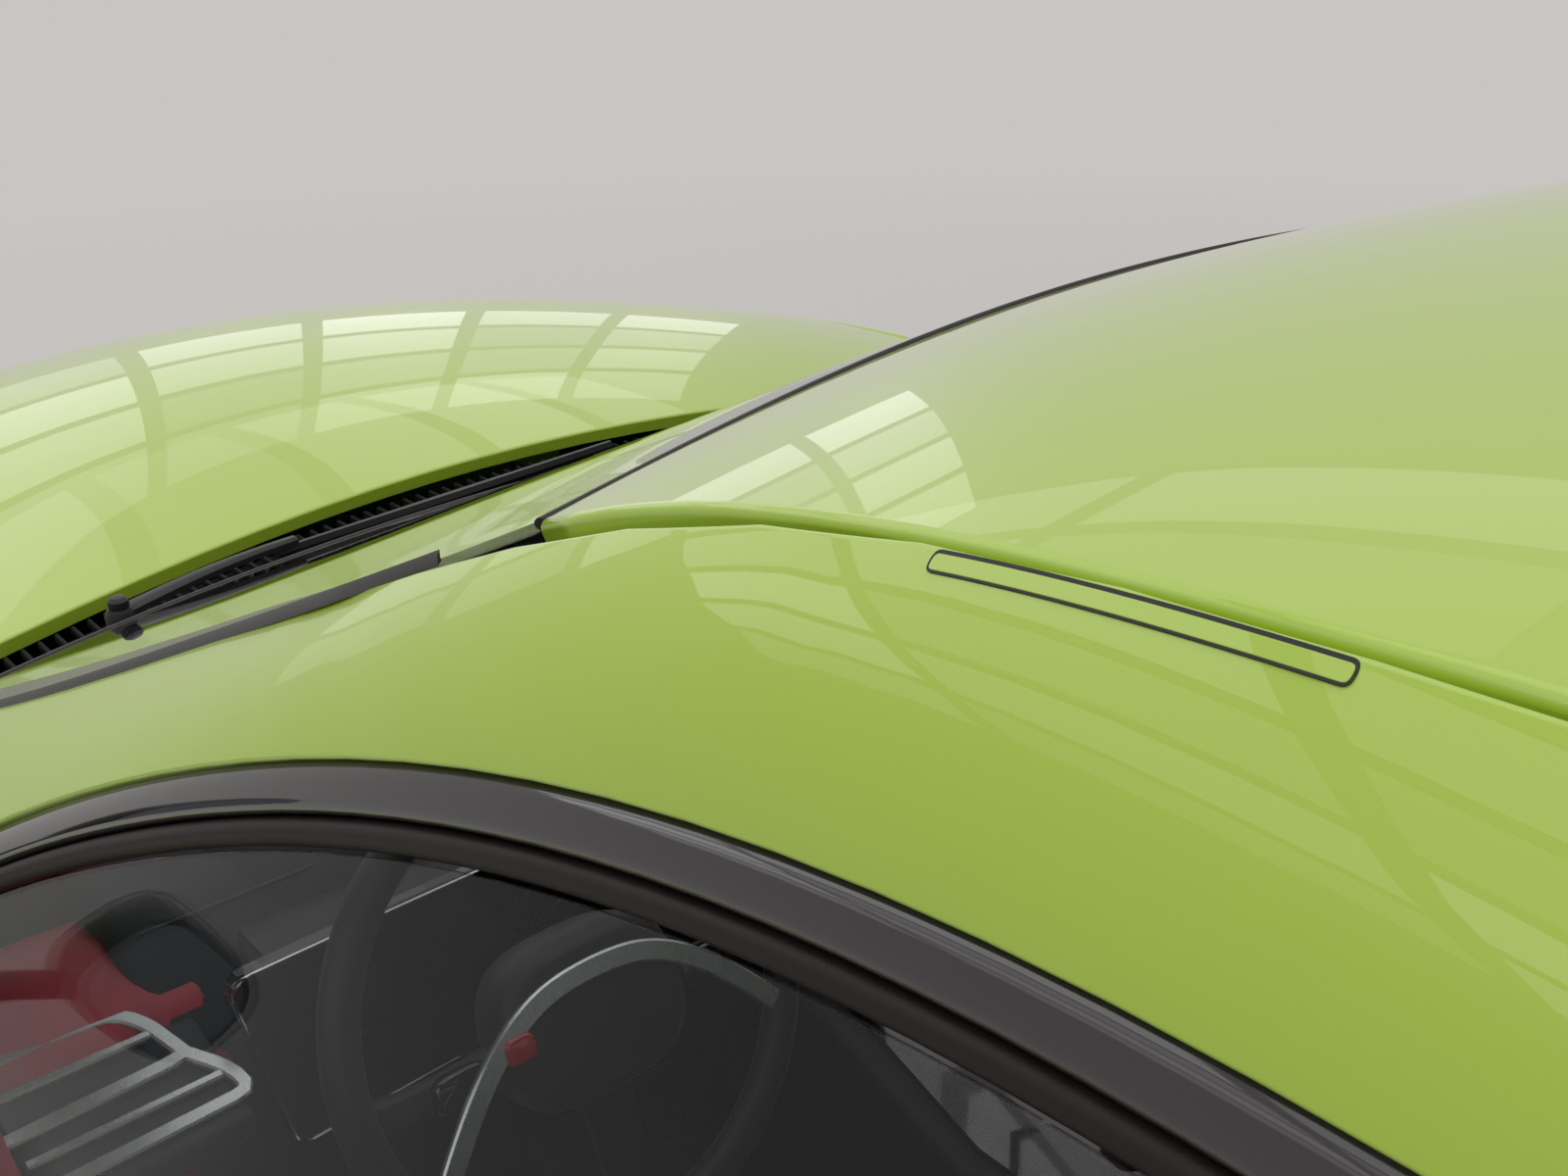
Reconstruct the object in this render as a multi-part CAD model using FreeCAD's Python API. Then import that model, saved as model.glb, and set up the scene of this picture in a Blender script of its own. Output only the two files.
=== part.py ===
# Two-door coupe car. Millimetres. +X to the nose, +Y to the car's left, +Z up,
# ground at z = 0, x = 0 at mid-length, y = 0 the plane of symmetry.
import FreeCAD
import Part
import math
import os

os.makedirs("parts", exist_ok=True)
doc = FreeCAD.newDocument("coupe")
Vec = FreeCAD.Vector

# Driving sizes: name, value, what it is.
SIZES = [
    ("front_axle_x", 1527, "front axle ahead of mid-length"),
    ("rear_axle_x", -1330, "rear axle, behind mid-length"),
    ("front_wheel_y", 792, "middle of front tyre"),
    ("rear_wheel_y", 790, "middle of rear tyre"),
    ("front_tyre_radius", 337, "front tyre"),
    ("rear_tyre_radius", 340, "rear tyre"),
    ("front_tyre_width", 264, "front tyre"),
    ("rear_tyre_width", 284, "rear tyre"),
    ("front_rim_radius", 244, "edge of front rim"),
    ("rear_rim_radius", 256, "edge of rear rim"),
    ("kingpin_y", 722, "steering axis"),
    ("arch_radius", 374, "round wheel opening in the fenders"),
    ("front_liner_radius", 410, "front wheel housing"),
    ("rear_liner_radius", 388, "rear wheel housing"),
    ("liner_sheet", 4, "thickness of wheel housings"),
    ("side_wall", 60, "thickness of doors and side frame"),
    ("skin", 22, "thickness of hood, fenders, roof"),
    ("bumper_wall", 26, "thickness of bumper skins"),
    ("panel_gap", 6, "gap round opening panels"),
    ("door_gap", 7, "gap round the doors"),
    ("rest_gap", 0.3, "clearance of pieces that rest on one another"),
    ("fixed_gap", 3, "gap between fixed panels"),
    ("side_glass", 5, "thickness of side glass"),
    ("screen_glass", 6, "thickness of windscreen and rear window"),
    ("door_front_x", 840, "front edge of door"),
    ("door_rear_x", -470, "rear edge of door"),
    ("door_sill_z", 241, "lower edge of door"),
    ("door_hinge_x", 750, "door hinge axis"),
    ("door_hinge_y", 894, "door hinge axis"),
    ("door_swing", 125, "room in the sill for the door's front corner"),
    ("trim_band", 34, "black band round the side windows"),
    ("seal_band", 12, "rubber seal inside the band"),
    ("fender_front_x", 2080, "joint of front fender and bumper"),
    ("rear_joint_x", -2000, "joint of side frame and rear bumper"),
    ("rear_joint_z", 788, "top of rear bumper"),
    ("floor_z", 150, "underside of floor"),
    ("floor_sheet", 12, "thickness of floor"),
    ("floor_half", 700, "half width of floor"),
    ("boot_floor_z", 412, "top of boot floor"),
    ("exhaust_z", 186, "exhaust pipe"),
    ("seat_y", 385, "middle of front seats"),
    ("column_rake", 24, "rake of the steering column, degrees"),
    ("ring_radius", 180, "steering wheel radius"),
    ("ring_x", 430, "middle of steering wheel"),
    ("ring_z", 800, "middle of steering wheel"),
    ("disc_radius", 185, "brake disc"),
    ("plate_hole_radius", 2.75, "holes for the number plate bolts"),
    ("plate_hole_span", 300, "distance of those two holes"),
]
sheet = doc.addObject("Spreadsheet::Sheet", "Sizes")
for row, (name, value, note) in enumerate(SIZES, start=1):
    sheet.set("A%d" % row, name)
    sheet.set("B%d" % row, str(value))
    sheet.set("C%d" % row, note)
    sheet.setAlias("B%d" % row, name)
doc.recompute()
S = {name: float(sheet.get(name)) for name, value, note in SIZES}

# Left side of the body, one line per station along X: y and z of lines that run
# the length of the car. Columns: x, sill, rocker, waist, wide, hip, belt.
SIDE = [
    (-2290, (640, 210), (690, 270), (715, 430), (730, 660), (715, 880), (640, 1015)),
    (-2080, (770, 190), (830, 260), (850, 430), (858, 660), (835, 880), (735, 1010)),
    (-1750, (790, 170), (875, 240), (908, 430), (918, 660), (890, 880), (765, 995)),
    (-1330, (800, 160), (898, 235), (928, 430), (943, 655), (925, 875), (790, 972)),
    (-950, (800, 155), (895, 235), (910, 420), (930, 650), (918, 865), (803, 953)),
    (-620, (800, 152), (893, 235), (894, 420), (916, 642), (907, 856), (808, 942)),
    (-300, (800, 150), (893, 235), (887, 420), (910, 636), (899, 848), (808, 930)),
    (0, (800, 150), (893, 235), (886, 420), (908, 632), (896, 842), (805, 920)),
    (300, (800, 150), (893, 235), (887, 420), (908, 629), (896, 836), (799, 909)),
    (600, (800, 150), (893, 235), (890, 420), (910, 624), (897, 828), (791, 903)),
    (931, (800, 150), (893, 235), (897, 420), (914, 616), (900, 812), (790, 909)),
    (1150, (800, 155), (893, 235), (908, 420), (919, 608), (901, 800), (803, 917)),
    (1527, (800, 160), (895, 230), (925, 420), (935, 600), (905, 770), (811, 905)),
    (1850, (790, 165), (850, 225), (878, 420), (882, 590), (850, 735), (778, 868)),
    (2080, (760, 170), (800, 230), (815, 420), (815, 560), (790, 690), (739, 813)),
]
# Left side above the belt. Columns: x, line over the side windows, line beside the roof.
UPPER = [
    (-2290, (625, 1050), (600, 1078)),
    (-2080, (700, 1045), (612, 1068)),
    (-1750, (725, 1035), (600, 1062)),
    (-1330, (735, 1070), (550, 1195)),
    (-950, (694, 1158), (519, 1320)),
    (-620, (647, 1248), (538, 1361)),
    (-300, (620, 1275), (559, 1362)),
    (0, (624, 1246), (569, 1336)),
    (300, (663, 1147), (592, 1217)),
    (600, (729, 991), (650, 1074)),
    (931, (765, 922), (737, 934)),
]
# Side window opening seen from the side: x, z.
WINDOW = [(722, 907), (600, 991), (400, 1104), (200, 1190), (0, 1246), (-150, 1268),
          (-300, 1275), (-450, 1270), (-620, 1248), (-800, 1208), (-950, 1158),
          (-1090, 1090), (-1180, 1010), (-1165, 985), (-950, 962), (-620, 950),
          (-300, 937), (0, 927), (400, 911), (690, 905)]

# Crowned panels across the car. Columns: x, side y, side z, middle z.
WINDSCREEN = [(140, 562, 1296, 1342), (245, 582, 1243, 1305), (400, 602, 1168, 1234),
              (600, 644, 1073, 1142), (740, 679, 1011, 1077), (931, 731, 931, 993),
              (1070, 768, 878, 936)]
ROOF = [(-1000, 516, 1308, 1350), (-900, 513, 1332, 1371), (-674, 526, 1358, 1393),
        (-500, 540, 1362, 1398), (-333, 550, 1362, 1399), (-157, 558, 1356, 1392),
        (0, 562, 1337, 1374), (150, 565, 1291, 1336), (260, 583, 1238, 1299)]
REAR_WINDOW = [(-1730, 589, 1050, 1082), (-1640, 578, 1081, 1118), (-1500, 562, 1133, 1174),
               (-1330, 543, 1195, 1243), (-1160, 527, 1256, 1302), (-960, 514, 1316, 1360),
               (-890, 513, 1334, 1375)]
HOOD = [(950, 771, 918, 938), (1112, 783, 919, 961), (1300, 795, 915, 985),
        (1527, 804, 904, 997), (1750, 786, 881, 987), (1914, 764, 852, 963),
        (2080, 732, 812, 918), (2200, 697, 774, 862), (2330, 640, 722, 786)]
BOOT_DECK = [(-2305, 590, 1077, 1097), (-2200, 598, 1070, 1088), (-2080, 603, 1065, 1083),
             (-1890, 598, 1059, 1081), (-1720, 586, 1062, 1087), (-1630, 573, 1078, 1106)]

# Edges of those panels in plan: x at the side, side y, x in the middle.
HEADER = (150, 565, 245)
SCREEN_FOOT = (850, 706, 970)
HOOD_REAR = (968, 774, 1112)
HOOD_FRONT = (2255, 672, 2322)
ROOF_REAR = (-905, 513, -962)
BACK_FOOT = (-1655, 580, -1712)
LIP = (-2262, 600, -2300)

# Bumpers. Columns: z, y at the joint with the side, x of the corner, x of the middle.
FRONT_LEVELS = [(165, 758, 2290, 2330), (230, 800, 2330, 2376), (330, 810, 2345, 2392),
                (450, 816, 2350, 2397), (560, 815, 2340, 2392), (660, 797, 2322, 2376),
                (745, 767, 2290, 2345), (790, 748, 2262, 2322)]
REAR_LEVELS = [(200, 785, -2250, -2300), (270, 843, -2290, -2352), (400, 862, -2310, -2378),
               (560, 870, -2323, -2394), (690, 871, -2323, -2394), (785, 862, -2310, -2380)]
# Tail face and lid face. Columns: z, half width, x at the ends, x in the middle.
TAIL_LEVELS = [(791, 724, -2291, -2340), (880, 715, -2291, -2340), (960, 675, -2291, -2334),
               (1015, 640, -2291, -2328), (1076, 601, -2291, -2318)]
LID_LEVELS = [(800, 640, -2322, -2360), (880, 640, -2322, -2360), (960, 630, -2314, -2352),
              (1015, 620, -2304, -2340), (1080, 604, -2284, -2316)]


def face(points):
    """Plane face inside a closed chain of straight lines."""
    pts = [Vec(*p) for p in points]
    return Part.Face(Part.makePolygon(pts + [pts[0]]))


def prism_side(outline, y_from, y_to):
    """Outline in X and Z carried across the car."""
    return face([(x, y_from, z) for x, z in outline]).extrude(Vec(0, y_to - y_from, 0))


def prism_plan(outline, z_from, z_to):
    """Outline in X and Y carried upwards."""
    return face([(x, y, z_from) for x, y in outline]).extrude(Vec(0, 0, z_to - z_from))


def prism_end(outline, x_from, x_to):
    """Outline in Y and Z carried along the car."""
    return face([(x_from, y, z) for y, z in outline]).extrude(Vec(x_to - x_from, 0, 0))


def shrunk(outline, by):
    """Side outline moved inwards all round."""
    ring = Part.makePolygon([Vec(x, 0, z) for x, z in outline + outline[:1]])
    moved = ring.makeOffset2D(-by, 2)
    return Part.Face(moved).extrude(Vec(0, 1200, 0))


def block(x0, x1, y0, y1, z0, z1):
    return Part.makeBox(x1 - x0, y1 - y0, z1 - z0, Vec(x0, y0, z0))


def drum(x, z, radius, y_from, y_to):
    """Cylinder across the car."""
    return Part.makeCylinder(radius, y_to - y_from, Vec(x, y_from, z), Vec(0, 1, 0))


def rod(a, b, radius):
    """Round bar between two points."""
    start, end = Vec(*a), Vec(*b)
    return Part.makeCylinder(radius, (end - start).Length, start, end - start)


def mirrored(shape):
    return shape.mirror(Vec(0, 0, 0), Vec(0, 1, 0))


def both(shape):
    return Part.makeCompound([shape, mirrored(shape)])


def largest(shape):
    """The main solid of a cut shape, without its splinters."""
    return max(shape.Solids, key=lambda solid: solid.Volume)


def widened(rows, gap, rise):
    """The same crowned surface carried out at the sides and lifted."""
    return [(x, y + gap, z - (m - z) * ((1 + gap / y) ** 2 - 1) + rise, m + rise)
            for x, y, z, m in rows]


def seat_for(rows, wall, side_gap, rest_gap):
    """Space a crowned panel takes out of what it rests on."""
    rise = 60.0
    return crowned(widened(rows, side_gap, rise), wall + rise + rest_gap)


def joined(shapes):
    return shapes[0].fuse(shapes[1:]).removeSplitter()


def wall_section(x, points, wall):
    """Closed ring at one station: outer points and the same points moved inwards."""
    inner = []
    last = len(points) - 1
    for i, (y, z) in enumerate(points):
        a = points[max(i - 1, 0)]
        b = points[min(i + 1, last)]
        dy, dz = b[0] - a[0], b[1] - a[1]
        size = math.hypot(dy, dz)
        inner.append((y - wall * dz / size, z + wall * dy / size))
    ring = [Vec(x, y, z) for y, z in points + inner[::-1]]
    return Part.makePolygon(ring + [ring[0]])


def side_wall(stations, wall, inset=0.0, rows=slice(1, 7), upper=True):
    """Lofted wall on the left side between the first and last station."""
    tops = {row[0]: row[1:] for row in UPPER}
    rings = []
    for row in SIDE:
        if row[0] in stations:
            points = list(row[rows])
            if upper:
                points += list(tops[row[0]])
            points = [(y - inset, z) for y, z in points]
            rings.append(wall_section(row[0], points, wall))
    return Part.makeLoft(rings, True, False)


def crown_section(x, y, z, middle, wall):
    """Closed ring across the car: an arc over an equal arc."""
    top = Part.Arc(Vec(x, y, z), Vec(x, 0, middle), Vec(x, -y, z)).toShape()
    foot = Part.Arc(Vec(x, -y, z - wall), Vec(x, 0, middle - wall), Vec(x, y, z - wall)).toShape()
    left = Part.makeLine(Vec(x, y, z - wall), Vec(x, y, z))
    right = Part.makeLine(Vec(x, -y, z), Vec(x, -y, z - wall))
    return Part.Wire([top, right, foot, left])


def plan_curve(edge, move=0.0):
    """Curved edge in plan, from the left side to the right side."""
    x, y, middle = edge
    reach = 900.0
    k = (middle - x) / (y * y)
    out = middle - k * reach * reach
    return Part.Arc(Vec(out + move, reach, 0), Vec(middle + move, 0, 0),
                    Vec(out + move, -reach, 0)).toShape()


def band(front, rear, front_move=0.0, rear_move=0.0):
    """Upright prism between two curved edges in plan."""
    a = plan_curve(front, front_move)
    b = plan_curve(rear, rear_move)
    sides = [Part.makeLine(a.Vertexes[-1].Point, b.Vertexes[-1].Point),
             Part.makeLine(a.Vertexes[0].Point, b.Vertexes[0].Point)]
    outline = Part.Wire(Part.__sortEdges__([a, b] + sides))
    return Part.Face(outline).extrude(Vec(0, 0, 2000))


def crowned(rows, wall):
    """Crowned panel lofted along the car."""
    rings = [crown_section(x, y, z, m, wall) for x, y, z, m in rows]
    return Part.makeLoft(rings, True, False)


def bow_wire(level, joint_x, wall):
    """Closed bow at one level: from the left joint round the nose to the right joint."""
    z, y, corner, middle = level
    sign = 1 if middle > 0 else -1

    def chain(inset):
        yy = y - inset
        a = Vec(joint_x, yy, z)
        b = Vec(joint_x + (corner - joint_x) * 0.5, yy - 0.05 * y, z)
        c = Vec(corner - sign * inset, 0.7 * yy, z)
        d = Vec(middle - sign * (inset + 0.25 * abs(middle - corner)), 0.35 * yy, z)
        e = Vec(middle - sign * inset, 0, z)
        return [a, b, c, d, e] + [Vec(v.x, -v.y, v.z) for v in (d, c, b, a)]

    o = chain(0)
    i = chain(wall)
    edges = [Part.Arc(o[k], o[k + 1], o[k + 2]).toShape() for k in (0, 2, 4, 6)]
    edges.append(Part.makeLine(o[8], i[8]))
    edges += [Part.Arc(i[k], i[k - 1], i[k - 2]).toShape() for k in (8, 6, 4, 2)]
    edges.append(Part.makeLine(i[0], o[0]))
    return Part.Wire(edges)


def bow_shell(levels, joint_x, wall):
    return Part.makeLoft([bow_wire(lv, joint_x, wall) for lv in levels], True, False)


def plate_ring(level, wall):
    """Closed ring at one level of a shallow end plate."""
    z, y, end, middle = level
    inner_y = y - 70
    outer = Part.Arc(Vec(end, y, z), Vec(middle, 0, z), Vec(end, -y, z)).toShape()
    inner = Part.Arc(Vec(end + wall, -inner_y, z), Vec(middle + wall, 0, z),
                     Vec(end + wall, inner_y, z)).toShape()
    right = Part.makeLine(Vec(end, -y, z), Vec(end + wall, -inner_y, z))
    left = Part.makeLine(Vec(end + wall, inner_y, z), Vec(end, y, z))
    return Part.Wire([outer, right, inner, left])


def end_plate(levels, wall):
    return Part.makeLoft([plate_ring(lv, wall) for lv in levels], True, False)


NODES = []


def add(name, shape):
    """Keeps one sub-part made by solid operations under its node name."""
    obj = doc.addObject("Part::Feature", name)
    obj.Shape = shape
    obj.Label = name
    NODES.append(obj)
    return obj


def add_mirror(name, source):
    """Right-hand twin of a left-hand sub-part."""
    obj = doc.addObject("Part::Mirroring", name)
    obj.Source = source
    obj.Base = Vec(0, 0, 0)
    obj.Normal = Vec(0, 1, 0)
    obj.Label = name
    NODES.append(obj)
    return obj


def new_body(name, keep=True):
    body = doc.addObject("PartDesign::Body", name)
    body.Label = name
    if keep:
        NODES.append(body)
    return body


def plane_of(body, role):
    return [f for f in body.Origin.OriginFeatures if f.Role == role][0]


def draw(body, role, outline, offset):
    """Closed sketch of straight lines on one of the body's own planes."""
    sketch = body.newObject("Sketcher::SketchObject", "outline")
    sketch.AttachmentSupport = (plane_of(body, role), [""])
    sketch.MapMode = "FlatFace"
    sketch.AttachmentOffset = FreeCAD.Placement(Vec(0, 0, offset), FreeCAD.Rotation())
    n = len(outline)
    for k in range(n):
        a, b = outline[k], outline[(k + 1) % n]
        sketch.addGeometry(Part.LineSegment(Vec(a[0], a[1], 0), Vec(b[0], b[1], 0)), False)
    return sketch


def pad(body, axis, outline, start, end):
    """Pad from start to end along an axis, outline in the other two axes."""
    role, offset = {"x": ("YZ_Plane", start), "y": ("XZ_Plane", -end),
                    "z": ("XY_Plane", start)}[axis]
    sketch = draw(body, role, outline, offset)
    feature = body.newObject("PartDesign::Pad", "pad")
    feature.Profile = sketch
    feature.Length = end - start
    return feature


def pocket(body, axis, outline, start, end):
    """Pocket from start to end along an axis."""
    role, offset = {"x": ("YZ_Plane", end), "y": ("XZ_Plane", -start),
                    "z": ("XY_Plane", end)}[axis]
    sketch = draw(body, role, outline, offset)
    feature = body.newObject("PartDesign::Pocket", "pocket")
    feature.Profile = sketch
    feature.Length = end - start
    return feature


def box_outline(a0, a1, b0, b1):
    return [(a0, b0), (a1, b0), (a1, b1), (a0, b1)]


# Body side, left. One lofted wall gives the side frame, the door, the glass and the
# bands round the window, so that all of them follow the same surface.
gap = S["panel_gap"]
seam = S["fixed_gap"]
rest = S["rest_gap"]
door_gap = S["door_gap"]
far = 1250.0
door_front, door_rear, door_foot = S["door_front_x"], S["door_rear_x"], S["door_sill_z"]
arch_front = drum(S["front_axle_x"], S["front_tyre_radius"], S["arch_radius"], 500, far)
arch_rear = drum(S["rear_axle_x"], S["rear_tyre_radius"], S["arch_radius"], 500, far)
side_stations = [row[0] for row in UPPER]
front_stations = [row[0] for row in SIDE if row[0] >= 600]

whole_side = side_wall(side_stations, S["side_wall"])
lower_side = side_wall(side_stations, S["side_wall"], upper=False)


def door_edge(grow):
    """Door outline seen from the side, moved outwards by a gap."""
    return [(door_front + grow, door_foot - grow), (door_front + grow, 960),
            (door_rear - 30 - grow, 960), (door_rear - 24 - grow, 800),
            (door_rear - 4 - grow, 500), (door_rear + 12 - grow, door_foot - grow)]


# The opening runs on forwards under the roof pillar, where the fender closes it.
side_opening = prism_side([(door_front - 1, door_foot - door_gap), (960, door_foot - door_gap), (960, 914),
                           (door_front - 1, 912)], 500, far)
door_opening = prism_side(door_edge(door_gap)[:1] + [(door_front + door_gap, 912), (700, 910), (640, 962)]
                          + door_edge(door_gap)[2:], 500, far)
window_hole = prism_side(WINDOW, 400, far)
tail_opening = block(-2400, S["rear_joint_x"] + seam, 500, far, 0, S["rear_joint_z"])
rail_cover = side_wall(side_stations, 3, inset=-1.5, rows=slice(6, 7)).common(
    prism_plan([(-60, 575), (-60, 592), (-200, 588), (-200, 571)], 1200, 1500))
rail_cover_rear = side_wall(side_stations, 3, inset=-1.5, rows=slice(6, 7)).common(
    prism_plan([(-620, 558), (-620, 574), (-760, 562), (-760, 546)], 1200, 1500))
roof_seat = seat_for(ROOF, S["skin"], seam, rest)
screen_seat = seat_for(WINDSCREEN, S["screen_glass"], rest, rest)
screen_seats = [screen_seat.common(block(x0, x1, -900, 900, 700, 1600))
                for x0, x1 in ((140, 500), (500, 872))]
back_seat = seat_for(REAR_WINDOW, S["screen_glass"], rest, rest).common(band(ROOF_REAR, BACK_FOOT, 0, -8))
deck_space = crowned(widened(BOOT_DECK, gap, 60), 160).common(
    band(BACK_FOOT, LIP, 0, -60))
lid_hole = prism_end([(-476, 780), (476, 780), (506, 940), (592, 1100), (-592, 1100), (-506, 940)],
                     -2500, -2240)
roof_space = roof_seat.common(band(HEADER, ROOF_REAR))
frame_wall = whole_side.cut([side_opening, door_opening, window_hole, tail_opening, arch_rear])
for space in (roof_space, screen_seats[0], screen_seats[1], back_seat, deck_space, lid_hole, rail_cover,
              rail_cover_rear):
    frame_wall = frame_wall.cut(space)
sill_box = prism_end([(S["floor_half"], 160), (812, 160), (812, 236), (800, 300),
                      (S["floor_half"] + 20, 330), (S["floor_half"], 330)], -925, 931)
front_post = prism_side([(856, 200), (930, 200), (930, 920), (880, 920), (856, 900)], 650, 690)
lock_post = prism_side([(door_rear - 70, 300), (door_rear - 130, 300), (door_rear - 150, 700),
                        (door_rear - 160, 935), (door_rear - 90, 935)], 700, 860)
swing_space = Part.makeCylinder(S["door_swing"], 120, Vec(S["door_hinge_x"], S["door_hinge_y"], door_foot - 12))
sill_box = sill_box.cut(swing_space)
jack_pads = [block(790, 880, 725, 785, 144, 170), block(-880, -790, 725, 785, 144, 170)]

# Door hinges: a strap from the post reaches round the door's corner to the pin.
hinge_x, hinge_y = S["door_hinge_x"], S["door_hinge_y"]
straps, pockets = [], []
for hinge_z in (540, 740):
    straps.append(block(hinge_x - 6, hinge_x + 6, 690, hinge_y, hinge_z - 21, hinge_z + 21))
    straps.append(block(hinge_x - 6, 880, 684, 696, hinge_z - 21, hinge_z + 21))
    straps.append(Part.makeCylinder(6, 60 - 2 * rest, Vec(hinge_x, hinge_y, hinge_z - 30 + rest)))
    pockets.append(block(hinge_x - 12, door_front + 1, 700, hinge_y + 6.5, hinge_z - 30, hinge_z + 30))
post_ties = [block(856, 930, 650, 790, 165, 225), block(856, 930, 650, 748, 850, 908)]
side_frame = joined([largest(frame_wall), sill_box, front_post, lock_post] + post_ties + jack_pads + straps)
add("side_frame_left", side_frame)
add("side_frame_right", mirrored(side_frame))

# Doors: as thick as the wall, with the window standing in a slot along the top.
glass_wall = side_wall(side_stations, S["side_glass"], inset=16, rows=slice(5, 7))
inner_edge = S["trim_band"] + S["seal_band"] + gap
pane_area = shrunk(WINDOW, inner_edge)
pane_top = prism_side([(700, 700), (690, 1300), (door_rear - 40, 1300), (door_rear - 20, 700)], 0, far)
door_pane_top = glass_wall.common(pane_area).common(pane_top)
slot_strip = prism_side([(560, 975), (600, 930), (600, 870), (-430, 900), (-484, 1000)], 0, far)
door_pane = largest(joined([door_pane_top, glass_wall.common(slot_strip)]))
door_wall = lower_side.common(prism_side(door_edge(0), 500, far))
door_shell = door_wall.cut([door_pane] + pockets)
handle = block(-400, -210, 885, 925, 770, 796)
door_shell = joined([door_shell, handle])
door_shell_left = add("door_left_shell", door_shell)
door_pane_left = add("door_left_glass", door_pane)
trim_wall = side_wall([r[0] for r in SIDE if -950 <= r[0] <= 931], 28, inset=S["side_wall"] + 1,
                      rows=slice(3, 7), upper=False)
door_trim = trim_wall.common(prism_side([(690, 300), (690, 870), (-400, 880), (-400, 300)], 500, far))
armrest = block(-260, 330, 758, 835, 560, 620)
door_trim_left = add("door_left_trim", largest(joined([door_trim, armrest]).cut(door_wall)))
mirror_head = block(668, 778, 872, 1030, 935, 1050)
mirror_head = mirror_head.makeFillet(38, [e for e in mirror_head.Edges])
mirror_foot = prism_end([(800, 880), (860, 850), (940, 955), (940, 985), (900, 975)], 700, 752)
door_mirror_left = add("door_left_mirror", joined([mirror_head, mirror_foot]).cut(door_wall))
add_mirror("door_right_shell", door_shell_left)
add_mirror("door_right_glass", door_pane_left)
add_mirror("door_right_trim", door_trim_left)
add_mirror("door_right_mirror", door_mirror_left)

# Fixed side glass and the bands round the window.
quarter_area = prism_side([(door_rear - 46, 1300), (door_rear - 26, 900), (-1300, 900),
                           (-1300, 1300)], 0, far)
add("quarter_glass", both(glass_wall.common(shrunk(WINDOW, S["trim_band"] + S["seal_band"] + rest))
                         .common(quarter_area)))
band_wall = side_wall(side_stations, 12, inset=5, rows=slice(5, 7))
seal_wall = side_wall(side_stations, 16, inset=10, rows=slice(5, 7))
upper_part = prism_side([(760, 1400), (760, 990), (0, 990), (-500, 1010), (-503, 900),
                         (-1300, 930), (-1300, 1400)], 0, far)
trim_ring = band_wall.common(shrunk(WINDOW, 0.5)).cut(shrunk(WINDOW, S["trim_band"]))
seal_ring = seal_wall.common(shrunk(WINDOW, S["trim_band"])).cut(
    shrunk(WINDOW, S["trim_band"] + S["seal_band"]))
add("window_trim", both(trim_ring.common(upper_part)))
add("window_seals", both(seal_ring.common(upper_part)))

# Front fenders.
fender = side_wall(front_stations, S["skin"], upper=False)
fender_region = prism_side([(door_front + door_gap, door_foot - door_gap + rest),
                            (932, door_foot - door_gap + rest), (932, 140), (2077, 140), (2077, 830),
                            (1850, 900), (1150, 940), (door_front + door_gap, 930)], 500, far)
hood_space = crowned(widened(HOOD, gap, 60), 180).common(
    band(HOOD_FRONT, HOOD_REAR, gap, -gap))
fender_left = largest(fender.common(fender_region).cut([arch_front, hood_space]))
add("front_fenders", both(fender_left))

# Crowned panels.
add("windscreen", crowned(WINDSCREEN, S["screen_glass"]).common(
    band(SCREEN_FOOT, HEADER, 0, rest)))
add("roof_panel", crowned(ROOF, S["skin"]).common(band(HEADER, ROOF_REAR)))
add("rear_window", crowned(REAR_WINDOW, S["screen_glass"]).common(
    band(ROOF_REAR, BACK_FOOT, -rest, 0)))
hood = crowned(HOOD, S["skin"]).common(band(HOOD_FRONT, HOOD_REAR))
add("hood", hood)
deck = crowned(BOOT_DECK, S["skin"]).common(band(BACK_FOOT, LIP, -gap, 0))
lid_face = end_plate(LID_LEVELS, S["bumper_wall"]).common(
    prism_end([(-470, 806), (470, 806), (500, 940), (585, 1078), (-585, 1078), (-500, 940)],
              -2400, -2200))
plate_y = S["plate_hole_span"] / 2
rear_plate_holes = [Part.makeCylinder(S["plate_hole_radius"], 200, Vec(-2450, y, 860), Vec(1, 0, 0))
                    for y in (-plate_y, plate_y)]
add("boot_lid", joined([deck, lid_face]).cut(rear_plate_holes))

# Rear end: tail panel with lamps, bumper.
tail = end_plate(TAIL_LEVELS, S["bumper_wall"])
lamp_hole = prism_end([(500, 850), (700, 868), (690, 940), (530, 935)], -2500, -2200)
add("tail_panel", tail.cut([lid_hole, lamp_hole, mirrored(lamp_hole), side_frame, mirrored(side_frame),
                            deck_space]))
lamp_shell = end_plate([(z, y, e - 4, m - 4) for z, y, e, m in TAIL_LEVELS], 50)
tail_lamp = lamp_shell.common(prism_end([(500.5, 850.5), (699.5, 868.5), (689.5, 939.5), (530.5, 934.5)],
                                        -2500, -2200)).cut(side_frame)
add("tail_lamps", both(tail_lamp))
rear_bumper = bow_shell(REAR_LEVELS, S["rear_joint_x"], S["bumper_wall"])
tips = [(-2290, y, 300) for y in (-560, -450, 450, 560)]
tip_slot = prism_end([(390, 244), (620, 244), (620, 340), (602, 356), (408, 356), (390, 340)], -2500, -2200)
low_mouth = prism_end([(-370, 150), (370, 150), (350, 262), (-350, 262)], -2500, -2200)
rear_stays = [block(-2362, -2240 - rest, y - 25, y + 25, 440, 480) for y in (-220, 220)]
rear_skin = largest(rear_bumper.cut([tip_slot, mirrored(tip_slot), low_mouth]))
add("rear_bumper", joined([rear_skin] + rear_stays))

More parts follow.
